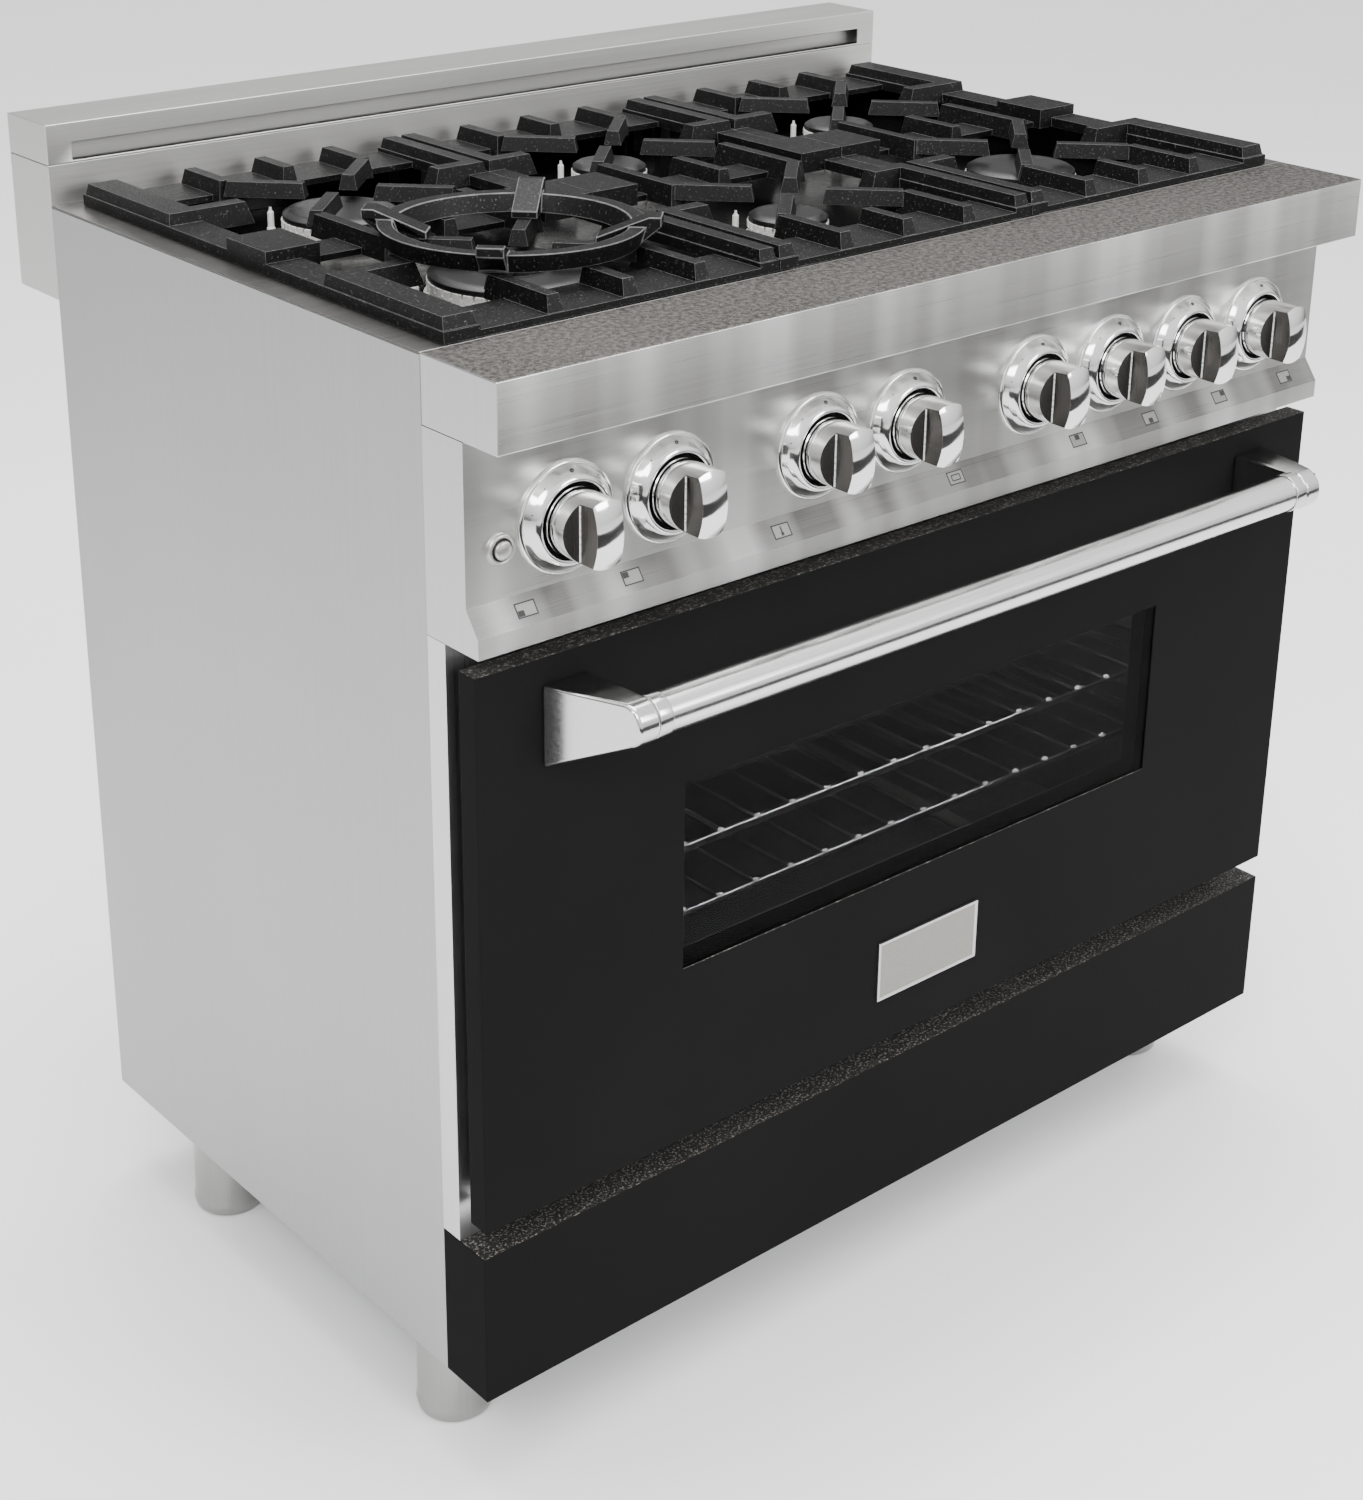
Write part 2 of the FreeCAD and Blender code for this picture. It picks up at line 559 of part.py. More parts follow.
def rib(name, x, y, angle, length, width, low, high, heel="rib_taper", toe="rib_taper"):
    """Cast bar of trapezium section that starts at (x, y) and runs at an angle from +X.

    The wedge's own Y is its height, so a quarter turn about X stands it up."""
    bar = doc.addObject("Part::Wedge", name)
    bar.Placement = Placement(Vector(), Rotation(Vector(0, 0, 1), angle).multiply(Rotation(Vector(1, 0, 0), 90)))
    bar.Xmin = bar.Ymin = 0
    bind(bar, {"Xmax": length, "Ymax": f"{high} - ({low})", "X2min": heel, "X2max": f"{length} - ({toe})",
               "Zmin": f"-({width}) / 2", "Zmax": f"({width}) / 2",
               "Z2min": f"-({width}) / 2 + rib_taper", "Z2max": f"({width}) / 2 - rib_taper"})
    return place(bar, x, y, low)


def grate(name, label, middle, left, right, left_bar, right_bar):
    """Cast grate over two burners: low web, raised side bars and fingers round each burner."""
    low, web, rail, top = "grate_low", "grate_web", "grate_rail", "grate_top"
    centre_y = "(grate_front + grate_rear) / 2"
    inner_left, inner_right = f"{left} + {left_bar}", f"{right} - ({right_bar})"
    parts = [block(f"{name}_rail_left", (left, inner_left), ("grate_front", "grate_rear"), (low, rail)),
             block(f"{name}_rail_right", (inner_right, right), ("grate_front", "grate_rear"), (low, rail)),
             block(f"{name}_web_front", (left, right), ("grate_front", "grate_front + stub_length"), (low, web)),
             block(f"{name}_web_rear", (left, right), ("grate_rear - stub_length", "grate_rear"), (low, web)),
             block(f"{name}_web_middle", (left, right), (f"{centre_y} - 19", f"{centre_y} + 19"), (low, web)),
             rib(f"{name}_stub_middle", middle, f"{centre_y} - 32", 90, "64", "rib_width", low, top)]
    for side, sign in (("left", "-1"), ("right", "1")):
        x = f"{middle} + {sign} * rib_offset"
        edge, inner = (left, "pad_width") if sign == "-1" else (right, "-pad_width")
        start, end = (edge, f"{edge} + {inner}") if sign == "-1" else (f"{edge} + {inner}", edge)
        parts.append(rib(f"{name}_{side}_through", x, f"{centre_y} - 50", 90, "100", "rib_width", low, top))
        parts.append(block(f"{name}_{side}_pad", (start, end), (f"{centre_y} - pad_half", f"{centre_y} + pad_half"),
                           (low, top)))
    for end, burner_y, turn, tip in (("rear", "burner_rear_y", -90, "grate_rear"),
                                     ("front", "burner_front_y", 90, "grate_front")):
        outward = f"abs({tip} - {burner_y})"
        heading = 1 if end == "rear" else -1
        parts.append(rib(f"{name}_{end}_stub", middle, tip, turn, "stub_length", "rib_width", low, top, heel="5"))
        for side, sign in (("left", -1), ("right", 1)):
            x = f"{middle} + {sign} * rib_offset"
            parts.append(rib(f"{name}_{end}_{side}_rib", x, tip, turn, f"{outward} - rib_offset + 3", "rib_width",
                             low, top, heel="5"))
            for depth, facing in (("outer", heading), ("inner", -heading)):
                angle = math.degrees(math.atan2(-facing, -sign))
                parts.append(rib(f"{name}_{end}_{side}_{depth}", x, f"{burner_y} + {facing} * rib_offset", angle,
                                 "diagonal_length", "rib_width", f"{top} - 12", top))
            width = left_bar if sign == -1 else right_bar
            bar_x = f"{left} + {left_bar} / 2" if sign == -1 else f"{right} - ({right_bar}) / 2"
            parts.append(rib(f"{name}_{end}_{side}_bar", bar_x, tip, turn, f"{outward} + 9", width, low, top, heel="5"))
            reach = f"abs({bar_x} - ({middle})) - lateral_reach"
            parts.append(rib(f"{name}_{end}_{side}_arm", bar_x, burner_y, 0 if sign == -1 else 180, reach,
                             "rib_width + 3", low, top, toe="6"))
    for i, x in enumerate((f"{left} + foot_side", f"{right} - foot_side - 10")):
        for j, y in enumerate(("grate_front + foot_side", "grate_rear - foot_side - 10")):
            parts.append(block(f"{name}_foot_{i}{j}", (x, f"{x} + 10"), (y, f"{y} + 10"),
                               ("tray_floor + seam", "grate_low + 1")))
    return node(join(name, parts), label)


def grates():
    left = grate("cast_left", "grate_left", "-burner_x", "-grate_half_outer", "-grate_split - grate_gap",
                 "outer_bar", "inner_bar")
    grate("cast_centre", "grate_centre", "0", "-grate_split + grate_gap", "grate_split - grate_gap",
          "inner_bar", "inner_bar")
    node(mirror("cast_right", left), "grate_right")


def wok_ring():
    """Cast ring with four sloped lugs that cradle a round-bottomed pan."""
    ring = turned("wok_turning", "z", [("0", "wok_bore - 4"), ("0", "wok_radius - 4"), ("wok_rise", "wok_radius"),
                                       ("wok_rise", "wok_bore + 1")])
    ring = place(ring, "0", "0", "grate_top + 0.4")
    parts = [ring]
    for i in range(4):
        body = new_body(f"wok_lug_{i}")
        sketch = new_sketch(body, f"wok_lug_profile_{i}", "XZ_Plane")
        outline(sketch, [("wok_bore - 24", "grate_top + 0.4"), ("wok_radius - 6", "grate_top + 0.4"),
                         ("wok_lug_reach", "wok_top - 7"), ("wok_lug_reach", "wok_top"),
                         ("wok_lug_reach - 9", "wok_top"), ("wok_bore - 24", "grate_top + 6")])
        pad(body, sketch, "20", midplane=True)
        body.Placement = Placement(Vector(), Rotation(Vector(0, 0, 1), 45 + 90 * i))
        parts.append(body)
    ring_joined = join("wok_joined", parts)
    place(ring_joined, "-burner_x", "burner_front_y", "0")
    node(ring_joined, "wok_ring")


# ---------------------------------------------------------------- console
def landing_ledge():
    """Square-fronted ledge across the front of the cooktop, closed at its ends."""
    body = new_body("ledge_solid")
    sketch = new_sketch(body, "ledge_profile", "YZ_Plane")
    rear = "side_front - seam"
    outline(sketch, [(rear, "ledge_bottom"), ("ledge_front", "ledge_bottom"), ("ledge_front", "cooktop"),
                     (rear, "cooktop")])
    pad(body, sketch, "body_width", midplane=True)
    inside = block("ledge_inside", (f"-{HALF} + gauge", f"{HALF} - gauge"), ("ledge_front + gauge", "side_front"),
                   ("ledge_bottom + gauge", "cooktop - gauge"))
    node(cut("ledge_cut", body, [inside]), "landing_ledge")


def knob_spots():
    """Eight knobs: two, two and four, with wider gaps between the groups."""
    steps = ("0", "knob_pitch", "knob_pitch + knob_group_gap", "2 * knob_pitch + knob_group_gap")
    for i in range(8):
        if i < 4:
            step = steps[i]
        else:
            step = f"{i - 2} * knob_pitch + 2 * knob_group_gap"
        yield i + 1, f"first_knob + {step}"


OVEN_KNOBS = (3, 4)


def control_panel():
    """Fascia, sloped lip and underside in one folded sheet, with closed ends."""
    rear = "side_front - seam"
    top = "ledge_bottom - 0.1"
    fascia = folded("fascia_sheet", [
        ("fascia_front", top), ("fascia_front", "fascia_bottom"), ("lip_front", "lip_edge"),
        ("lip_front", "lip_bottom"), (rear, "lip_bottom"), (rear, "lip_bottom + gauge"),
        ("lip_front + gauge", "lip_bottom + gauge"), ("lip_front + gauge", "lip_edge + 0.5"),
        ("fascia_front + gauge", "fascia_bottom + 0.5"), ("fascia_front + gauge", top)], "body_width")
    end_body = new_body("fascia_end")
    end_sketch = new_sketch(end_body, "fascia_end_profile", "YZ_Plane", f"-{HALF}")
    outline(end_sketch, [("fascia_front", top), ("fascia_front", "fascia_bottom"), ("lip_front", "lip_edge"),
                         ("lip_front", "lip_bottom"), (rear, "lip_bottom"), (rear, top)])
    pad(end_body, end_sketch, "gauge")
    holes = [rod(f"fascia_hole_{i}", "y", "spindle_radius + 3", "20", x, "fascia_front - 8", "knob_height")
             for i, x in knob_spots()]
    holes.append(rod("fascia_lamp_hole", "y", "button_radius + 0.6", "20", "lamp_x", "fascia_front - 8", "lamp_z"))
    solid = join("fascia_joined", [fascia, end_body, mirror("fascia_end_right", end_body)])
    node(cut("fascia_cut", solid, holes), "control_panel")


def bezels():
    """Stepped bright rings behind the knobs, and a small one round the lamp button."""
    rings = []
    for i, x in knob_spots():
        ring = turned(f"bezel_{i}", "y", [
            ("0", "bezel_bore"), ("0", "bezel_radius"), ("-2.4", "bezel_radius"), ("-4", "bezel_radius - 3.5"),
            ("-bezel_depth + 2", "bezel_radius - 5.5"), ("-bezel_depth", "bezel_radius - 8"),
            ("-bezel_depth", "bezel_bore + 1.2"), ("-bezel_depth + 3", "bezel_bore")])
        rings.append(place(ring, x, "fascia_front", "knob_height"))
    lamp = turned("bezel_lamp", "y", [("0", "button_radius + 0.4"), ("0", "button_bezel"), ("-2", "button_bezel"),
                                      ("-3.2", "button_bezel - 1.6"), ("-3.2", "button_radius + 0.4")])
    rings.append(place(lamp, "lamp_x", "fascia_front", "lamp_z"))
    node(group("bezel_set", rings), "knob_bezels")


def knobs():
    """Turned knob with a waist cut on each side, which leaves a flat grip across the front.

    The oven knobs carry their own round spindle; the burner knobs slide on a square drive."""
    for i, x in knob_spots():
        own_spindle = i in OVEN_KNOBS
        corners = [(f"-knob_front + knob_dome * {share}^2", f"knob_radius * {share}")
                   for share in ("0", "0.25", "0.45", "0.62", "0.77", "0.9", "1")]
        corners.append(("-knob_rear", "knob_radius"))
        if own_spindle:
            corners += [("-knob_rear", "spindle_radius"), ("spindle_depth", "spindle_radius"), ("spindle_depth", "0")]
        else:
            corners += [("-knob_rear", "0")]
        body = turned(f"knob_body_{i}", "y", corners)
        waist = new_sketch(body, f"knob_waist_{i}", "XY_Plane")
        for sign in ("", "-"):
            outline(waist, [(f"{sign}grip_half", "-knob_front - 1"), (f"{sign}crease_x", "-crease_y"),
                            (f"{sign}(knob_radius + 2)", "-shelf_y"), (f"{sign}(knob_radius + 2)", "-knob_front - 1")])
        pocket(body, waist, "3 * knob_radius", midplane=True)
        if not own_spindle:
            bore = new_sketch(body, f"knob_bore_{i}", "XZ_Plane")
            half = "square_drive / 2 + drive_play"
            outline(bore, [(f"-({half})", f"-({half})"), (half, f"-({half})"), (half, half), (f"-({half})", half)])
            pocket(body, bore, "34", reverse=True)
        place(body, x, "fascia_front", "knob_height")
        node(body, f"knob_{i}")


def valve_stems():
    """Round spindle that turns in its valve, with a square drive that the knob slides on."""
    for i, x in knob_spots():
        if i in OVEN_KNOBS:
            continue
        half = "square_drive / 2"
        spindle = rod(f"stem_round_{i}", "y", "spindle_radius", "spindle_depth", x, "fascia_front", "knob_height")
        drive = block(f"stem_square_{i}", (f"{x} - {half}", f"{x} + {half}"), ("fascia_front - 30", "fascia_front + 2"),
                      (f"knob_height - {half}", f"knob_height + {half}"))
        node(join(f"stem_{i}", [spindle, drive]), f"valve_stem_{i}")


def valves():
    """Brass valves for the burners, two round oven controls and the lamp switch."""
    solids = []
    for i, x in knob_spots():
        bore = rod(f"valve_bore_{i}", "y", "spindle_radius + running_play", "spindle_depth + 0.5", x, "fascia_front",
                   "knob_height")
        if i in OVEN_KNOBS:
            case = rod(f"control_case_{i}", "y", "24", "34", x, "fascia_front + 5", "knob_height")
        else:
            nose = rod(f"valve_nose_{i}", "y", "9", "20", x, "fascia_front + 4", "knob_height")
            barrel = block(f"valve_barrel_{i}", (f"{x} - 13", f"{x} + 13"), ("fascia_front + 10", "manifold_y - 6"),
                           ("knob_height - 17", "knob_height + 17"))
            case = join(f"valve_case_{i}", [nose, barrel])
        solids.append(cut(f"valve_{i}", case, [bore]))
    solids.append(block("lamp_switch", ("lamp_x - 10", "lamp_x + 10"), ("fascia_front + 14", "fascia_front + 36"),
                        ("lamp_z - 9", "lamp_z + 9")))
    node(group("valve_set", solids), "valves_and_controls")


def gas_manifold():
    """Steel pipe behind the console, which runs down to a threaded inlet at the rear."""
    radius = "manifold_radius"
    drop = "inlet_x"
    deep = "manifold_y + 6"
    start = "first_knob - 20"
    parts = [rod("manifold_rail", "x", radius, f"{drop} - ({start})", start, deep, "knob_height"),
             ball("manifold_bend", radius, drop, deep, "knob_height"),
             rod("manifold_drop", "z", radius, "knob_height - inlet_z", drop, deep, "inlet_z"),
             ball("manifold_elbow", radius, drop, deep, "inlet_z"),
             rod("manifold_run", "y", radius, f"body_rear - 20 - ({deep})", drop, deep, "inlet_z"),
             rod("manifold_shoulder", "y", "inlet_radius + 2.5", "35", drop, "body_rear - 30", "inlet_z"),
             rod("manifold_inlet", "y", "inlet_radius", "inlet_end - body_rear", drop, "body_rear", "inlet_z")]
    node(join("manifold_joined", parts), "gas_manifold")


def lamp_button():
    cap = turned("button", "y", [("-6", "0"), ("-6", "button_radius - 1"), ("-5", "button_radius"),
                                 ("6", "button_radius"), ("6", "3"), ("11.5", "3"), ("11.5", "0")])
    node(place(cap, "lamp_x", "fascia_front", "lamp_z"), "lamp_button")


# ---------------------------------------------------------------- backguard
def backguard():
    """Low splash rail whose front slot lets the oven's exhaust out."""
    outer = block("guard_outer", (f"-{HALF}", HALF), ("body_rear", "flue_rear"), ("guard_seam", "guard_top"))
    hollow = block("guard_hollow", (f"-{HALF} + gauge", f"{HALF} - gauge"), ("body_rear + gauge", "flue_rear - gauge"),
                   ("guard_seam - 5", "guard_top - gauge"))
    slot = block("guard_slot", ("-434", "434"), ("body_rear - 5", "body_rear + 5"), ("guard_seam + 1.5", "guard_seam + 16"))
    baffle = block("guard_baffle", (f"-{HALF} + gauge / 2", f"{HALF} - gauge / 2"), ("body_rear + 13", "body_rear + 14"),
                   ("guard_seam", "guard_seam + 22"))
    node(join("guard_joined", [cut("guard_cut", outer, [hollow, slot]), baffle]), "backguard")


def flue_box():
    outer = block("flue_outer", (f"-{HALF}", HALF), ("body_rear + seam", "flue_rear"),
                  ("flue_bottom", "guard_seam - seam"))
    hollow = block("flue_hollow", (f"-{HALF} + gauge", f"{HALF} - gauge"),
                   ("body_rear + seam + gauge", "flue_rear - gauge"), ("flue_bottom + gauge", "guard_seam + 5"))
    node(cut("flue_cut", outer, [hollow]), "flue_box")


# ---------------------------------------------------------------- door
def door_skin():
    """Outer door pan with the window and a notch at each hinge."""
    outer = block("skin_outer", ("-door_half", "door_half"), ("door_front", "door_skin_rear"),
                  ("door_bottom", "door_top"))
    hollow = block("skin_hollow", ("-door_half + gauge", "door_half - gauge"), ("door_front + gauge", "door_skin_rear + 5"),
                   ("door_bottom + gauge", "door_top - gauge"))
    window = block("skin_window", ("-window_half", "window_half"), ("door_front - 5", "door_front + 5"),
                   ("window_low", "window_high"))
    notch = block("skin_notch", ("424", "435"), ("hinge_y - 9", "door_skin_rear + 5"),
                  ("door_bottom - 5", "door_bottom + 5"))
    node(cut("skin_cut", outer, [hollow, window, notch, mirror("skin_notch_left", notch)]), "door_skin")


def door_liner():
    """Inner door pan; its rim seals on the frame through the gasket."""
    outer = block("inner_outer", ("-liner_half", "liner_half"), ("door_skin_rear + 0.2", "door_liner_rear"),
                  ("liner_low", "liner_high"))
    hollow = block("inner_hollow", ("-liner_half + gauge", "liner_half - gauge"),
                   ("door_skin_rear - 5", "door_liner_rear - gauge"), ("liner_low + gauge", "liner_high - gauge"))
    window = block("inner_window", ("-window_half", "window_half"), ("door_skin_rear - 5", "door_liner_rear + 5"),
                   ("window_low", "window_high"))
    node(cut("inner_cut", outer, [hollow, window]), "door_liner")


def door_glass():
    wide, low, high = "window_half + glass_lap", "window_low - glass_lap", "window_high + glass_lap"
    front = block("pane_outer", (f"-({wide})", wide), ("door_front + gauge + 0.1", "door_front + gauge + 0.1 + glass_thick"),
                  (low, high))
    rear = block("pane_inner", (f"-({wide})", wide),
                 ("door_liner_rear - gauge - 0.1 - glass_thick", "door_liner_rear - gauge - 0.1"), (low, high))
    node(group("pane_pair", [front, rear]), "door_glass")


def door_gasket():
    outer = block("seal_outer", ("-gasket_half", "gasket_half"), ("door_liner_rear + 0.05", "gasket_rear"),
                  ("gasket_low", "gasket_high"))
    hollow = block("seal_hollow", ("-gasket_half + gasket_width", "gasket_half - gasket_width"),
                   ("door_liner_rear - 5", "gasket_rear + 5"), ("gasket_low + gasket_width", "gasket_high - gasket_width"))
    node(cut("seal_cut", outer, [hollow]), "door_gasket")


def door_hinges():
    """Hinge blocks inside the door, each bored for the frame's pin."""
    bearing = block("bearing", ("406", "424.5"), ("hinge_y - 9", "door_skin_rear + 4"),
                    ("door_bottom + gauge + 0.1", "hinge_z + 8"))
    arm = block("bearing_arm", ("408", "422"), ("hinge_y - 9", "hinge_y + 1"), ("hinge_z + 7", "hinge_z + 70"))
    bore = rod("bearing_bore", "x", "pin_radius + pin_play", "40", "395", "hinge_y", "hinge_z")
    node(both_sides("bearing_pair", cut("bearing_cut", join("bearing_solid", [bearing, arm]), [bore])), "door_hinges")


def handle():
    """Round tube held between two tapered brackets, each with a round collar at its tip."""
    bar = turned("bar_turning", "x", [
        ("-bar_half", "bar_radius - bar_wall"), ("-bar_half", "bar_radius"), ("bar_half", "bar_radius"),
        ("bar_half", "bar_radius - bar_wall")])
    node(place(bar, "0", "handle_y", "handle_z"), "handle_bar")

    body = new_body("bracket_taper")
    root = new_sketch(body, "bracket_root", "XZ_Plane", "-door_front + 0.3")
    outline(root, [("-bracket_out", "bracket_low"), ("-bracket_in", "bracket_low"), ("-bracket_in", "bracket_high"),
                   ("-bracket_out", "bracket_high")])
    tip = new_sketch(body, "bracket_tip", "XZ_Plane", "-handle_y")
    low, high = "handle_z - end_radius", "handle_z + end_radius"
    outline(tip, [("-end_out", low), ("-end_in", low), ("-end_in", high), ("-end_out", high)])
    taper = body.newObject("PartDesign::AdditiveLoft", "bracket_loft")
    taper.Profile = root
    taper.Sections = [tip]
    taper.Ruled = True
    full = "end_radius + 0.3"
    nose = turned("bracket_nose", "x", [
        ("-end_out - 0.2", "0"), ("-end_out - 0.2", f"{full} - end_bevel / 2"), ("-end_out + end_bevel", full),
        ("-end_in + 0.2", full), ("-end_in + 0.2", "0")])
    place(nose, "0", "handle_y", "handle_z")
    node(both_sides("bracket_pair", join("bracket_joined", [body, nose])), "handle_brackets")


def name_plate():
    """Blank bevelled plate."""
    body = new_body("plate")
    sketch = new_sketch(body, "plate_outline", "XZ_Plane", "-door_front + 0.1")
    outline(sketch, [("-plate_half", "plate_low"), ("plate_half", "plate_low"), ("plate_half", "plate_high"),
                     ("-plate_half", "plate_high")])
    feature = pad(body, sketch, "plate_proud")
    doc.recompute()
    bevel = body.newObject("PartDesign::Chamfer", "plate_bevel")
    front = [f"Edge{i}" for i, edge in enumerate(feature.Shape.Edges, 1)
             if edge.BoundBox.YMax < feature.Shape.BoundBox.YMin + 0.01]
    bevel.Base = (feature, front)
    bevel.Size = 1.4
    node(body, "name_plate")


def body_screws():
    """Pan-head screws that hold the rear panel and the flue box."""
    screws = []
    inset = f"{HALF} - flange - 9"
    for side, x in (("left", f"-({inset})"), ("right", inset)):
        for i in range(5):
            screws.append(rod(f"screw_{side}_{i}", "y", "screw_radius", "screw_head", x, "body_rear + 0.1",
                              f"body_bottom + 30 + {i} * 165"))
    for i in range(4):
        screws.append(rod(f"screw_flue_{i}", "y", "screw_radius", "screw_head", f"-330 + {i} * 220",
                          "body_rear + 0.1", "flue_bottom - 14"))
    node(group("screw_set", screws), "body_screws")


# ---------------------------------------------------------------- build and export
for build in (side_panels, rear_panel, base_pan, legs, front_frame, kick_panel, oven_liner, insulation,
              oven_burners, fan, oven_lamp, rack_guides, cooktop_surround, burner_tray, burner_heads,
              burner_caps, igniters, grates, wok_ring, landing_ledge, control_panel, bezels, knobs,
              valve_stems, valves, gas_manifold, lamp_button, backguard, flue_box, door_skin, door_liner,
              door_glass, door_gasket, door_hinges, handle, name_plate, body_screws):
    build()
oven_rack("rack_lower", "rack_low")
oven_rack("rack_upper", "rack_high")

doc.recompute()
for item in doc.Objects:
    if "Invalid" in item.State or "Error" in item.State:
        raise RuntimeError(f"{item.Label} did not compute: {item.State}")
for item in nodes:
    if item.Shape.isNull() or not item.Shape.isValid() or not item.Shape.Solids:
        raise RuntimeError(f"{item.Label} has no valid solid")

os.makedirs("parts", exist_ok=True)
for item in nodes:
    item.Shape.exportStep(os.path.join("parts", item.Label + ".step"))
    print(f"{item.Label}: {len(item.Shape.Solids)} solids, {item.Shape.Volume / 1000:.1f} cm3")
print(len(nodes), "nodes")
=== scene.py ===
import json
import math

import bmesh
import bpy
from mathutils import Matrix, Vector

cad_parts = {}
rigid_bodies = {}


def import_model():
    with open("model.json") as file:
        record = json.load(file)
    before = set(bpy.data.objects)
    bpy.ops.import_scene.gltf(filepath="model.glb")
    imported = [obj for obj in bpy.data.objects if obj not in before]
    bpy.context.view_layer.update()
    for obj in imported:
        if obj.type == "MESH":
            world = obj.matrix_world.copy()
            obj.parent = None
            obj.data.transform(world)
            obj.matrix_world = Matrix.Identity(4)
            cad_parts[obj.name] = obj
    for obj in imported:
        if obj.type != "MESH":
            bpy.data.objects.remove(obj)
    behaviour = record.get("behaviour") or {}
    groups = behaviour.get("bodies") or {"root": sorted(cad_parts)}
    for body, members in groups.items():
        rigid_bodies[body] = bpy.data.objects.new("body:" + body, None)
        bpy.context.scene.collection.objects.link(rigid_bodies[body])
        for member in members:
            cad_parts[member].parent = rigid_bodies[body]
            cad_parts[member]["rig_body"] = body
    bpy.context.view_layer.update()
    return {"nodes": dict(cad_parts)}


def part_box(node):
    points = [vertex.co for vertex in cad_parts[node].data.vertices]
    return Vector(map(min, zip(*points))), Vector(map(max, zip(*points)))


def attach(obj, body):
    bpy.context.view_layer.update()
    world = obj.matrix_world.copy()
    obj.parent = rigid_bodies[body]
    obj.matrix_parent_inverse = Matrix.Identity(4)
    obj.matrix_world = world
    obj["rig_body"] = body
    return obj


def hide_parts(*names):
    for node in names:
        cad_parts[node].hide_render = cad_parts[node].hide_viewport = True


# Looks for the freestanding gas range. Metres, in the frame of the CAD: +X right, +Y to the wall, +Z up.
# Turned profiles are in millimetres, as (place along the axis, radius).

for item in list(bpy.data.objects):
    bpy.data.objects.remove(item)

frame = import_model()
nodes = frame["nodes"]
MM = 0.001


# ------------------------------------------------------------------ places taken from the frame
def low(node):
    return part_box(node)[0]


def high(node):
    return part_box(node)[1]


def middle(node):
    return (low(node) + high(node)) / 2


DOOR_FRONT = low("door_skin").y
FASCIA = high("knob_bezels").y
HANDLE = middle("handle_bar")
BAR_RADIUS = (high("handle_bar").z - low("handle_bar").z) / 2
LIP_Y = low("control_panel").y
LIP_SLOPE = (0.715, 0.733)      # heights between which the lower lip of the console slopes
BRACKET_TOP = 0.664             # the handle brackets' upper edge at the door
BRACKET_TIP_X = 0.3785          # their outer face at the bar, from the middle
BAR_ENDS = 12.0                 # length of a collar on the bar, in millimetres
KNOBS = {i: middle(f"knob_{i}") for i in range(1, 9)}
KNOB_Z = KNOBS[1].z
MARK_X = {1: -0.411, 2: -0.319, 3: -0.178, 4: 0.005, 5: 0.147, 6: 0.237, 7: 0.328, 8: 0.418}
BURNER_KNOBS = {1: (-1, -1), 2: (-1, 1), 5: (0, 1), 6: (0, -1), 7: (1, 1), 8: (1, -1)}  # each burner's column and row
WIRES, BAR_WIRE = 18, 3.2 * MM  # gaps between the wires of a rack, and the radius of its end bars
AREA_CHANGE = 0.06              # the most that a sound bevel changes a surface's area, as a share

CAMERA_PLACE = (-1.3456, -1.5187, 1.3788)
CAMERA_TURN = (40.71, 20.90, 0.64)   # yaw, pitch down and roll, in degrees
CAMERA_LENS, CAMERA_SHIFT = 60.19, -0.15
WORLD_STRENGTH, BACKDROP_STRENGTH = 1.85, 3.4


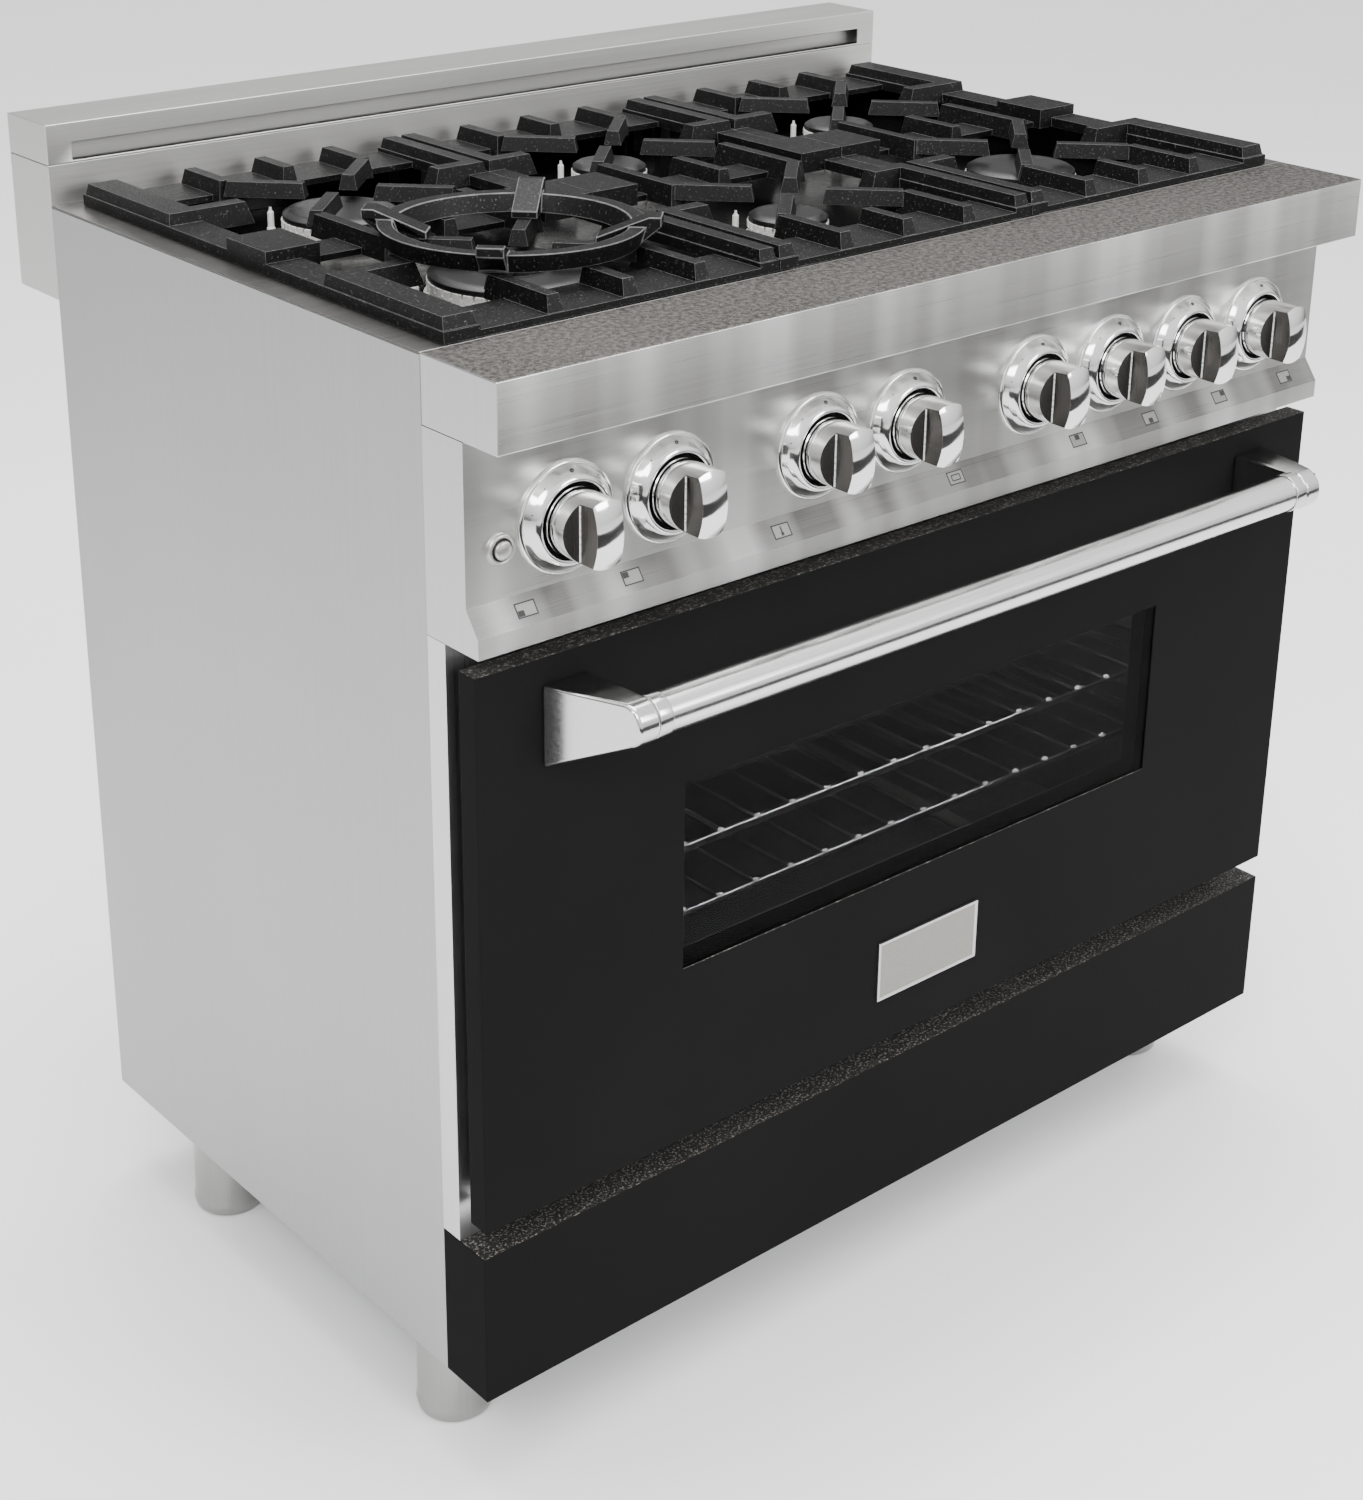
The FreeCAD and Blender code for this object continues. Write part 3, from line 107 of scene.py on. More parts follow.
# ------------------------------------------------------------------ shader helpers
class Shader:
    """A principled material and short calls that add texture nodes to it."""

    def __init__(self, name, colour, metallic=0.0, roughness=0.5, **sockets):
        self.material = bpy.data.materials.new(name)
        self.material.use_nodes = True
        self.tree = self.material.node_tree
        self.surface = self.tree.nodes["Principled BSDF"]
        self.set("Base Color", (*colour, 1.0))
        self.set("Metallic", metallic)
        self.set("Roughness", roughness)
        for socket, value in sockets.items():
            self.set(socket.replace("_", " "), value)
        self.place = self.add("ShaderNodeTexCoord").outputs["Object"]
        self.height = None

    def add(self, kind, **settings):
        item = self.tree.nodes.new(kind)
        for key, value in settings.items():
            setattr(item, key, value)
        return item

    def set(self, socket, value):
        self.surface.inputs[socket].default_value = value

    def link(self, source, target):
        self.tree.links.new(source, target)

    def noise(self, scale, stretch=(1, 1, 1), detail=3.0, rough=0.55):
        mapping = self.add("ShaderNodeMapping")
        mapping.inputs["Scale"].default_value = stretch
        self.link(self.place, mapping.inputs["Vector"])
        texture = self.add("ShaderNodeTexNoise")
        texture.inputs["Scale"].default_value = scale
        texture.inputs["Detail"].default_value = detail
        texture.inputs["Roughness"].default_value = rough
        self.link(mapping.outputs["Vector"], texture.inputs["Vector"])
        return texture.outputs["Fac"]

    def remap(self, source, out_low, out_high, in_low=0.3, in_high=0.7):
        remap = self.add("ShaderNodeMapRange")
        limits = {"From Min": in_low, "From Max": in_high, "To Min": out_low, "To Max": out_high}
        for socket, value in limits.items():
            remap.inputs[socket].default_value = value
        self.link(source, remap.inputs["Value"])
        return remap.outputs["Result"]

    def mix(self, factor, first, second, blend="MIX"):
        mix = self.add("ShaderNodeMix", data_type="RGBA", blend_type=blend)
        for socket, value in ((mix.inputs[0], factor), (mix.inputs[6], first), (mix.inputs[7], second)):
            if isinstance(value, bpy.types.NodeSocket):
                self.link(value, socket)
            else:
                socket.default_value = value if isinstance(value, float) else (*value, 1)
        return mix.outputs[2]

    def colour(self, source):
        self.link(source, self.surface.inputs["Base Color"])
        return self

    def roughness(self, source):
        self.link(source, self.surface.inputs["Roughness"])
        return self

    def bump(self, source, strength, distance):
        bump = self.add("ShaderNodeBump")
        bump.inputs["Strength"].default_value = strength
        bump.inputs["Distance"].default_value = distance
        self.link(source, bump.inputs["Height"])
        if self.height is not None:
            self.link(self.height, bump.inputs["Normal"])
        self.height = bump.outputs["Normal"]
        self.link(self.height, self.surface.inputs["Normal"])
        return self


def brushed(name, light, dark, grain, roughness=0.28, spread=0.10, strength=0.12, mottle=0.06, aniso=0.0,
            painted_highlight_bands=0.0):
    """Stainless steel brushed along the axis in which grain is smallest."""
    shader = Shader(name, light, 1.0, roughness, Anisotropic=aniso)
    fine = shader.noise(1.0, grain, 4.0, 0.6)
    cloud = shader.noise(5.0, (1, 1, 1), 3.0)
    lines = shader.mix(shader.remap(fine, 0.0, 1.0), dark, light)
    worn = tuple(channel * (1 - mottle) for channel in light)
    tone = shader.mix(shader.remap(cloud, 0.0, 0.45), lines, worn)
    # Painted highlight: bright vertical bands mixed toward near-white, standing in for reflections on the steel.
    if painted_highlight_bands:
        across = shader.noise(11.0, (1, 0, 0), 2.0)
        tone = shader.mix(shader.remap(across, 0.0, painted_highlight_bands, 0.45, 0.62), tone, (0.94, 0.94, 0.93))
    shader.colour(tone)
    shader.roughness(shader.remap(fine, roughness - spread / 2, roughness + spread / 2))
    shader.bump(fine, strength, 0.00006)
    return shader.material


def speckled(name, light, dark):
    """Grained steel seen flat on: fine pale and dark specks in place of clean lines."""
    shader = Shader(name, light, 1.0, 0.45)
    specks = shader.noise(230.0, (1, 1, 1), 4.0, 0.8)
    lines = shader.noise(1.0, (160.0, 1300.0, 1300.0), 3.0)
    cloud = shader.noise(4.0, (1, 1, 1), 3.0)
    tone = shader.mix(shader.remap(specks, 0.0, 1.0, 0.44, 0.56), dark, light)
    tone = shader.mix(shader.remap(lines, 0.0, 0.35), tone, dark)
    shader.colour(shader.mix(shader.remap(cloud, 0.0, 0.4), tone, tuple(c * 1.2 for c in light)))
    shader.roughness(shader.remap(specks, 0.38, 0.52))
    shader.bump(specks, 0.25, 0.00008)
    return shader.material


def polished(name, tone, roughness=0.07, smear=0.05):
    """Chrome with faint wipe marks, so that its gloss isn't quite even."""
    shader = Shader(name, (tone, tone, tone * 0.99), 1.0, roughness)
    cloud = shader.noise(38.0, (1, 1, 1), 4.0)
    fine = shader.noise(260.0, (1, 0.2, 1), 3.0)
    shader.colour(shader.mix(shader.remap(cloud, 0.0, 1.0), (tone * 0.93,) * 3, (tone, tone, tone * 0.985)))
    shader.roughness(shader.remap(cloud, roughness, roughness + smear))
    shader.bump(fine, 0.03, 0.00004)
    return shader.material


def black_paint(name, base, roughness, fleck, gloss, fleck_start=0.66, fleck_scale=1500.0):
    """Black finish with a fine fleck and a soft orange-peel."""
    shader = Shader(name, base, 0.0, roughness, Specular_IOR_Level=gloss)
    peel = shader.noise(420.0, (1, 1, 1), 3.0)
    cloud = shader.noise(6.0, (1, 1, 1), 2.0)
    dots = shader.noise(fleck_scale, (1, 1, 1), 2.0, 0.7)
    tone = shader.mix(shader.remap(cloud, 0.0, 1.0), tuple(c * 0.94 for c in base), tuple(c * 1.06 for c in base))
    shader.colour(shader.mix(shader.remap(dots, 0.0, 1.0, fleck_start, fleck_start + 0.08), tone, fleck))
    shader.roughness(shader.remap(cloud, roughness - 0.01, roughness + 0.02))
    shader.bump(peel, 0.10, 0.00005)
    return shader.material


def cast(name, low_tone, high_tone, speck):
    """Matte cast iron with sand texture and small pale specks."""
    shader = Shader(name, (0.010, 0.010, 0.011), 0.0, 0.5, Specular_IOR_Level=0.18)
    sand = shader.noise(620.0, (1, 1, 1), 4.0, 0.65)
    lumps = shader.noise(95.0, (1, 1, 1), 3.0)
    specks = shader.noise(520.0, (1, 1, 1), 2.0, 0.8)
    tone = shader.mix(shader.remap(lumps, 0.0, 1.0), (low_tone,) * 3, (high_tone,) * 3)
    shader.colour(shader.mix(shader.remap(specks, 0.0, 1.0, 0.63, 0.69), tone, (speck,) * 3))
    shader.roughness(shader.remap(sand, 0.40, 0.62))
    shader.bump(lumps, 0.25, 0.0005)
    shader.bump(sand, 0.55, 0.00028)
    return shader.material


def gloss_enamel(name, base, roughness, gloss):
    """Glossy black enamel with a faint orange-peel and a few flecks."""
    shader = Shader(name, base, 0.0, roughness, Coat_Weight=gloss / 3, Coat_Roughness=0.06,
                    Specular_IOR_Level=gloss)
    peel = shader.noise(160.0, (1, 1, 1), 3.0)
    flecks = shader.noise(900.0, (1, 1, 1), 2.0, 0.8)
    shader.colour(shader.mix(shader.remap(flecks, 0.0, 1.0, 0.68, 0.75), base, (0.05, 0.05, 0.052)))
    shader.roughness(shader.remap(peel, roughness, roughness + 0.08))
    shader.bump(peel, 0.06, 0.0001)
    return shader.material


def plain(name, base, metallic, roughness, grain=300.0, strength=0.15, depth=0.0001):
    """Everyday surface for inner parts, with grain and tone variation."""
    shader = Shader(name, base, metallic, roughness)
    fine = shader.noise(grain, (1, 1, 1), 4.0)
    cloud = shader.noise(14.0, (1, 1, 1), 3.0)
    shader.colour(shader.mix(shader.remap(cloud, 0.0, 1.0), tuple(c * 0.82 for c in base), base))
    shader.roughness(shader.remap(fine, roughness - 0.06, roughness + 0.08))
    shader.bump(fine, strength, depth)
    return shader.material


def tinted_glass(name):
    """Dark pane; four such surfaces leave the oven nearly black."""
    shader = Shader(name, (0.001, 0.001, 0.001), 0.0, 0.03, Alpha=0.38, Specular_IOR_Level=0.04)
    smear = shader.noise(9.0, (1, 1, 1), 4.0)
    shader.roughness(shader.remap(smear, 0.02, 0.05))
    return shader.material


ALONG_X = (4.0, 1700.0, 1700.0)
ALONG_Z = (1700.0, 1700.0, 4.0)
SIDE = brushed("steel_side", (0.41, 0.41, 0.415), (0.36, 0.36, 0.365), (900.0, 900.0, 5.0), 0.42, 0.06, 0.06, 0.16)
FRONT = brushed("steel_front", (0.56, 0.555, 0.545), (0.46, 0.455, 0.445), ALONG_X, 0.30, 0.06, 0.05, 0.14, 0.6,
                0.75)
# Painted shade: the front steel at about a quarter of its tone for the console's sloping lip, with fainter painted
# highlight bands.
LIP_SHADE = brushed("steel_lip_painted_shade", (0.155, 0.152, 0.149), (0.11, 0.108, 0.106), ALONG_X, 0.30, 0.06, 0.05, 0.14, 0.4, 0.3)
# Painted shade: a much darker, speckled copy of the front steel for the ledge's upward faces.
LEDGE_TOP_SHADE = speckled("steel_ledge_top_painted_shade", (0.175, 0.166, 0.157), (0.06, 0.057, 0.053))
CONSOLE_END = brushed("steel_console_end", (0.52, 0.52, 0.52), (0.46, 0.46, 0.46), (900.0, 900.0, 6.0), 0.36, 0.08,
                      0.08, 0.05)
GUARD = brushed("steel_backguard", (0.60, 0.595, 0.585), (0.48, 0.475, 0.465), ALONG_X, 0.42, 0.06, 0.04, 0.12)
BORDER = brushed("steel_border", (0.27, 0.265, 0.255), (0.17, 0.165, 0.16), ALONG_X, 0.34, 0.10, 0.18, 0.10)
FRAME = brushed("steel_frame", (0.62, 0.62, 0.62), (0.52, 0.52, 0.52), ALONG_Z, 0.32, 0.10, 0.12)
# Painted shade: steel darkened below the panels' tone for the legs under the range.
LEG_SHADE = brushed("steel_leg_painted_shade", (0.36, 0.355, 0.35), (0.31, 0.305, 0.30), (500.0, 500.0, 12.0), 0.16, 0.05, 0.03)
BAR = brushed("steel_bar", (0.74, 0.74, 0.735), (0.52, 0.52, 0.52), (8.0, 2000.0, 2000.0), 0.20, 0.10, 0.10, 0.04,
              0.6)
PLATE = brushed("nickel_plate", (0.27, 0.26, 0.24), (0.19, 0.182, 0.168), (120.0, 1300.0, 1300.0), 0.32, 0.10, 0.15,
                0.12)
CHROME = polished("chrome_knob", 0.74, 0.07)
BEZEL = polished("chrome_bezel", 0.70, 0.09)
BRACKET = brushed("steel_bracket", (0.62, 0.62, 0.615), (0.52, 0.52, 0.515), (900.0, 30.0, 900.0), 0.16, 0.06, 0.05)
# Painted highlight: near-white chrome for the knobs' bevel strips beside the waist cuts and for the crease lines.
CHROME_HIGHLIGHT = plain("chrome_painted_highlight", (0.95, 0.95, 0.94), 0.55, 0.28, 300.0, 0.03)
WAIST = brushed("chrome_waist", (0.15, 0.143, 0.135), (0.09, 0.086, 0.081), (1200.0, 1200.0, 6.0), 0.22, 0.08, 0.08)
SATIN = brushed("satin_button", (0.46, 0.455, 0.445), (0.40, 0.395, 0.385), (900.0, 900.0, 900.0), 0.34, 0.06, 0.05)
# Painted shade: chrome darkened well below its own tone, so the racks stay dark in the oven.
RACK_SHADE = polished("chrome_wire_painted_shade", 0.38, 0.12)
# Painted highlight: near-white weld beads that stand in for glints on the racks.
WELD_GLINT = plain("weld_painted_glint", (0.95, 0.95, 0.94), 0.1, 0.30, 300.0, 0.05)
BLACK = black_paint("black_front", (0.0080, 0.0080, 0.0081), 0.42, (0.014, 0.014, 0.014), 0.008)
# Painted light: the black paint made lighter, with large pale flecks, for the upward faces of the door and kick
# panel, as if lit from above.
BLACK_LIT_TOP = black_paint("black_top_painted_light", (0.013, 0.0125, 0.012), 0.55, (0.17, 0.16, 0.15), 0.2, 0.55, 480.0)
IRON = cast("cast_iron_black", 0.0014, 0.0036, 0.07)
# Painted highlight: a much lighter iron for the bevels of the grates and wok ring, for bright edges.
IRON_EDGE_HIGHLIGHT = cast("cast_iron_edge_painted_highlight", 0.060, 0.130, 0.20)
TRAY = gloss_enamel("hob_black", (0.002, 0.002, 0.002), 0.12, 0.12)
CAP = plain("cap_black", (0.004, 0.004, 0.004), 0.0, 0.42, 700.0, 0.3, 0.0001)
HEAD = plain("burner_head", (0.92, 0.91, 0.88), 0.35, 0.30, 260.0, 0.12)
SPARK = plain("spark_white", (0.82, 0.81, 0.77), 0.0, 0.25, 400.0, 0.05)
OVEN = plain("oven_black", (0.004, 0.004, 0.005), 0.0, 0.55, 60.0, 0.0)
GLASS = tinted_glass("window_glass")
RUBBER = plain("seal_rubber", (0.01, 0.01, 0.01), 0.0, 0.7, 500.0, 0.3)
ZINC = plain("zinc_sheet", (0.40, 0.41, 0.42), 1.0, 0.45, 60.0, 0.08)
# Painted shade in the bezel throats, where the fascia would show; also the black of the studio card.
SHADE_AND_FLAG_BLACK = plain("black_painted_shade_and_flag", (0.004, 0.004, 0.004), 0.0, 0.6, 500.0, 0.1)
INK = plain("printed_mark", (0.012, 0.012, 0.012), 0.0, 0.5, 900.0, 0.05)
PALE_INK = plain("printed_field", (0.26, 0.258, 0.253), 0.7, 0.4, 900.0, 0.05)
BRASS = plain("valve_brass", (0.62, 0.46, 0.20), 1.0, 0.35, 250.0, 0.1)
TUBE = plain("tube_dull", (0.30, 0.29, 0.28), 1.0, 0.4, 200.0, 0.2)
WOOL = plain("wool_mat", (0.62, 0.52, 0.30), 0.0, 0.95, 180.0, 1.0, 0.002)
BULB = plain("lamp_lens", (0.85, 0.80, 0.66), 0.0, 0.15, 90.0, 0.2)
SCREW = polished("screw_zinc", 0.55, 0.22)


# ------------------------------------------------------------------ mesh helpers
def body_of(node):
    return nodes[node]["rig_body"]


def piece(name, mesh, material, body, where=(0, 0, 0), stands_for=()):
    """Links a mesh as a finished piece that rides on a body."""
    item = bpy.data.objects.new(name, mesh)
    item.location = where
    bpy.context.scene.collection.objects.link(item)
    if material is not None:
        mesh.materials.clear()
        mesh.materials.append(material)
    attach(item, body)
    if stands_for:
        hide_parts(*stands_for)
    return item


def smooth(mesh, angle=32):
    mesh.shade_smooth()
    mesh.set_sharp_from_angle(angle=math.radians(angle))
    return mesh


def settle(item):
    """Applies the modifiers of an object to its mesh."""
    graph = bpy.context.evaluated_depsgraph_get()
    mesh = bpy.data.meshes.new_from_object(item.evaluated_get(graph))
    item.modifiers.clear()
    item.data = mesh
    return item


def bevelled(item, width, segments=2, angle=30, edge_slot=-1):
    bevel = item.modifiers.new("bevel", "BEVEL")
    bevel.material = edge_slot
    bevel.width = width
    bevel.segments = segments
    bevel.limit_method = "ANGLE"
    bevel.angle_limit = math.radians(angle)
    bevel.harden_normals = True
    settle(item)
    smooth(item.data, 40)
    weight = item.modifiers.new("normals", "WEIGHTED_NORMAL")
    weight.keep_sharp = True
    return settle(item)


def filled_area(mesh):
    mesh.calc_loop_triangles()
    return sum(triangle.area for triangle in mesh.loop_triangles)


def same_area(mesh, other, share):
    return abs(filled_area(mesh) - filled_area(other)) < share * filled_area(other)


def welded(source, flat):
    """Copy with its points welded and, where flat, its triangles merged into flat faces."""
    mesh = source.copy()
    work = bmesh.new()
    work.from_mesh(source)
    bmesh.ops.remove_doubles(work, verts=work.verts, dist=2e-6)
    if flat:
        bmesh.ops.dissolve_limit(work, angle_limit=math.radians(0.5), verts=work.verts, edges=work.edges)
    work.to_mesh(mesh)
    work.free()
    if mesh.has_custom_normals:
        mesh.attributes.remove(mesh.attributes["custom_normal"])
    return mesh


def refined(node, material, width, segments=2, angle=30, edge=None):
    """Copy of a CAD node with its edges broken; it stands for the node.

    The bevel is kept only if it leaves the surface whole, and is otherwise tried on the plain triangles.
    A second material, edge, goes on the bevel."""
    source = nodes[node].data
    item = piece(node + "_look", welded(source, True), material, body_of(node), stands_for=(node,))
    for flat in (True, False):
        mesh = welded(source, flat)
        mesh.materials.clear()
        mesh.materials.append(material)
        if edge:
            mesh.materials.append(edge)
        item.data = smooth(mesh, angle)
        if width:
            bevelled(item, width, segments, angle, 1 if edge else -1)
        if same_area(item.data, source, AREA_CHANGE):
            return item
    item.data = smooth(mesh, angle)
    return item


def rounded(points, radius, steps=3):
    """Profile with each inner corner replaced by a short curve."""
    out = [points[0]]
    for before, here, after in zip(points, points[1:], points[2:]):
        a, b, c = Vector(before), Vector(here), Vector(after)
        reach = min(radius, (a - b).length / 2.05, (c - b).length / 2.05)
        start, end = b + (a - b).normalized() * reach, b + (c - b).normalized() * reach
        for i in range(steps + 1):
            t = i / steps
            spot = start * (1 - t) ** 2 + b * 2 * t * (1 - t) + end * t ** 2
            out.append((spot.x, spot.y))
    out.append(points[-1])
    return out


def lathe(name, profile, axis="y", segments=96):
    """Mesh turned about an axis through the origin; the profile is (along, radius) in millimetres."""
    work = bmesh.new()
    rings = []
    for along, radius in profile:
        ring = []
        for i in range(segments if radius > 1e-6 else 1):
            angle = 2 * math.pi * i / segments
            u, v = radius * math.cos(angle), radius * math.sin(angle)
            spot = {"x": (along, u, v), "y": (u, along, v), "z": (u, v, along)}[axis]
            ring.append(work.verts.new([value * MM for value in spot]))
        rings.append(ring)
    for first, second in zip(rings, rings[1:]):
        for i in range(segments):
            j = (i + 1) % segments
            corners = (first[i % len(first)], first[j % len(first)],
                       second[j % len(second)], second[i % len(second)])
            unique = list(dict.fromkeys(corners))
            if len(unique) > 2:
                work.faces.new(unique)
    bmesh.ops.recalc_face_normals(work, faces=work.faces)
    mesh = bpy.data.meshes.new(name)
    work.to_mesh(mesh)
    work.free()
    return smooth(mesh)


def prism(name, outline, low_end, high_end, axis="z"):
    """Straight prism over an outline, in metres. The outline lies in the two other axes, in X, Y, Z order."""
    def spot(u, v, end):
        return {"x": (end, u, v), "y": (u, end, v), "z": (u, v, end)}[axis]
    work = bmesh.new()
    bottom = [work.verts.new(spot(u, v, low_end)) for u, v in outline]
    top = [work.verts.new(spot(u, v, high_end)) for u, v in outline]
    work.faces.new(bottom)
    work.faces.new(list(reversed(top)))
    for i in range(len(outline)):
        j = (i + 1) % len(outline)
        work.faces.new([bottom[i], bottom[j], top[j], top[i]])
    bmesh.ops.recalc_face_normals(work, faces=work.faces)
    mesh = bpy.data.meshes.new(name)
    work.to_mesh(mesh)
    work.free()
    return mesh


def merged(name, meshes):
    """One mesh from several (mesh, matrix) pairs."""
    work = bmesh.new()
    for mesh, matrix in meshes:
        part = mesh.copy()
        part.transform(matrix)
        work.from_mesh(part)
    out = bpy.data.meshes.new(name)
    work.to_mesh(out)
    work.free()
    return out


def paint_by(item, material, test):
    """Gives a second material to the faces that pass a test on (centre, normal)."""
    item.data.materials.append(material)
    index = len(item.data.materials) - 1
    for face in item.data.polygons:
        if test(face.center, face.normal):
            face.material_index = index
    return item


# ------------------------------------------------------------------ sheet metal
def panels():
    """Outer sheet parts, each with the finish that its faces show; upward faces of the ledge, lip, door and kick get
    darker or lighter copies as painted shade and painted light.
    """
    edge = 0.7 * MM
    refined("side_panel_left", SIDE, edge)
    refined("side_panel_right", SIDE, edge)
    refined("front_frame", FRAME, edge)
    refined("cooktop_surround", BORDER, edge)
    for node in ("kick_panel", "door_skin"):
        item = refined(node, BLACK, 0.9 * MM, 3)
        # Upward faces take the lighter black: painted light from above.
        paint_by(item, BLACK_LIT_TOP, lambda spot, normal: normal.z > 0.7)
    ledge = refined("landing_ledge", FRONT, 1.0 * MM, 3)
    # Painted shade: the ledge top is made darker than its front.
    paint_by(ledge, LEDGE_TOP_SHADE, lambda spot, normal: normal.z > 0.7)
    paint_by(ledge, CONSOLE_END, lambda spot, normal: abs(normal.x) > 0.7)
    panel = refined("control_panel", FRONT, 0.8 * MM, 3)
    # Upward-sloping faces of the console take the darker lip steel: painted shade.
    paint_by(panel, LIP_SHADE, lambda spot, normal: normal.z > 0.3)
    paint_by(panel, CONSOLE_END, lambda spot, normal: abs(normal.x) > 0.7)
    for node in ("backguard", "flue_box"):
        refined(node, GUARD, edge, 3)
    refined("rear_panel", ZINC, 0)
    refined("base_pan", ZINC, 0)


# ------------------------------------------------------------------ cooktop
def cooktop():
    # Bevels of the grates and wok ring take the lighter iron: a painted edge highlight.
    for node in ("grate_left", "grate_centre", "grate_right"):
        refined(node, IRON, 1.5 * MM, 3, 24, IRON_EDGE_HIGHLIGHT)
    refined("wok_ring", IRON, 1.2 * MM, 3, 24, IRON_EDGE_HIGHLIGHT)
    refined("burner_tray", TRAY, 0.5 * MM)
    refined("burner_heads", HEAD, 0.25 * MM)
    refined("burner_caps", CAP, 0.5 * MM, 2, 26)
    refined("igniters", SPARK, 0)


# ------------------------------------------------------------------ console
def knob_mesh():
    """Turned knob with a domed face, and on each side a waist cut down to a sloping shelf."""
    radius, front, dome, rear = 24.5, 50.0, 5.5, 3.6
    grip, grip_root, shelf, shelf_rim = 11.0, 12.5, 32.0, 27.3
    profile = [(-front + dome * (i / 10) ** 2, radius * i / 10) for i in range(11)]
    profile += [(-12.0, radius), (-11.2, radius - 0.5), (-10.4, radius), (-rear, radius), (-rear, 4.5)]
    knob = bpy.data.objects.new("knob_shape", lathe("knob_shape", profile, segments=128))
    bpy.context.scene.collection.objects.link(knob)
    cutters = []
    for sign in (-1, 1):
        waist = [(grip, -front - 2), (grip_root, -shelf), (radius + 4, -shelf_rim), (radius + 4, -front - 2)]
        mesh = prism("waist", [(sign * x * MM, y * MM) for x, y in waist], -0.04, 0.04)
        cutter = bpy.data.objects.new("waist", mesh)
        bpy.context.scene.collection.objects.link(cutter)
        cutters.append(cutter)
        cut = knob.modifiers.new("cut", "BOOLEAN")
        cut.operation = "DIFFERENCE"
        cut.object = cutter
        cut.solver = "EXACT"
    settle(knob)
    for cutter in cutters:
        bpy.data.objects.remove(cutter)
    knob.data.materials.clear()
    for material in (CHROME, WAIST, CHROME_HIGHLIGHT):
        knob.data.materials.append(material)
    # The bevel takes the near-white chrome; the strips beside the waist cuts keep it as a painted highlight.
    bevelled(knob, 1.1 * MM, 3, 20, 2)
    for face in knob.data.polygons:
        spot, normal = face.center / MM, face.normal
        across = abs(spot.x)
        to_side = abs(across - grip - (spot.y + front) * (grip_root - grip) / (front - shelf))
        to_shelf = abs(spot.y + shelf - (across - grip_root) * (shelf - shelf_rim) / (radius + 4 - grip_root))
        beside_cut = (to_side < 1.3 and spot.y < 1 - shelf) or (to_shelf < 1.3 and across > grip_root - 1)
        if (to_side < 0.3 and abs(normal.x) > 0.97) or (to_shelf < 0.3 and normal.y < -0.9):
            face.material_index = 1
        else:
            face.material_index = 2 if face.material_index == 2 and beside_cut else 0
    # A thin near-white rod along each crease between side wall and shelf: a painted highlight line.
    crease_highlight = lathe("crease_highlight", [(-20.3, 0), (-20.0, 0.7), (20.0, 0.7), (20.3, 0)], "z", 10)
    for face in crease_highlight.polygons:
        face.material_index = 2
    places = [Matrix.Translation((sign * (grip_root + 0.2) * MM, -(shelf + 0.1) * MM, 0)) for sign in (-1, 1)]
    mesh = merged("knob", [(knob.data, Matrix())] + [(crease_highlight, place) for place in places])
    for material in (CHROME, WAIST, CHROME_HIGHLIGHT):
        mesh.materials.append(material)
    bpy.data.objects.remove(knob)
    return mesh


def bezel_mesh():
    profile = [(0, 40.6), (-1.4, 41.0), (-2.2, 40.4), (-2.6, 39.0), (-2.4, 38.4), (-3.2, 37.9), (-7.0, 35.4),
               (-10.2, 32.6), (-11.6, 30.8), (-12.0, 29.4), (-11.7, 28.2), (-10.4, 27.4), (-4.0, 27.1)]
    return lathe("bezel", rounded(profile, 0.8, 2), segments=128)


def mark_meshes():
    """A small ring mark and four dots, set round the slope of a bezel."""
    ring = lathe("mark_ring", [(0, 0.75), (-0.12, 0.8), (-0.12, 1.45), (0, 1.5)], segments=20)
    dot = lathe("mark_dot", [(0, 0.55), (-0.12, 0.5), (-0.12, 0.0)], segments=12)
    spots = [(90, ring)] + [(angle, dot) for angle in (50, 18, 162, 130)]
    parts = []
    for angle, mesh in spots:
        turn = Matrix.Rotation(math.radians(angle - 90), 4, (0, -1, 0))
        lift = Matrix.Translation((0, -7.25 * MM, 35.45 * MM)) @ Matrix.Rotation(math.radians(-47), 4, "X")
        parts.append((mesh, turn @ lift))
    return merged("bezel_marks", parts)


def console():
    knob, bezel, marks = knob_mesh(), bezel_mesh(), mark_meshes()
    # Black ring in each bezel's throat: painted shade where the fascia would show.
    throat = lathe("throat", [(-9.5, 27.05), (-0.5, 26.95), (-0.25, 26.7), (-0.25, 6.0)], segments=64)
    for i, spot in KNOBS.items():
        where = (spot.x, FASCIA, KNOB_Z)
        piece(f"knob_{i}_look", knob.copy(), None, body_of(f"knob_{i}"), where, (f"knob_{i}",))
        piece(f"bezel_{i}_look", bezel.copy(), BEZEL, "range", where, ("knob_bezels",))
        piece(f"throat_{i}", throat.copy(), SHADE_AND_FLAG_BLACK, "range", where)
        piece(f"bezel_marks_{i}", marks.copy(), INK, "range", where)
    lamp = middle("lamp_button")
    where = (lamp.x, FASCIA, lamp.z)
    ring = rounded([(0, 11.3), (-1.6, 11.5), (-2.8, 10.6), (-3.2, 9.4), (-2.6, 8.2), (-0.4, 7.6)], 0.6)
    piece("lamp_bezel", lathe("lamp_bezel", ring), SATIN, "range", where)
    cap = rounded([(-6.0, 0), (-5.8, 3.0), (-5.2, 5.6), (-4.2, 6.9), (0, 7.0), (5.5, 7.0), (6.0, 3.0), (11.5, 3.0),
                   (11.5, 0)], 0.5)
    piece("lamp_button_look", lathe("lamp_button", cap), SATIN, "lamp_button", where,
          ("lamp_button",))


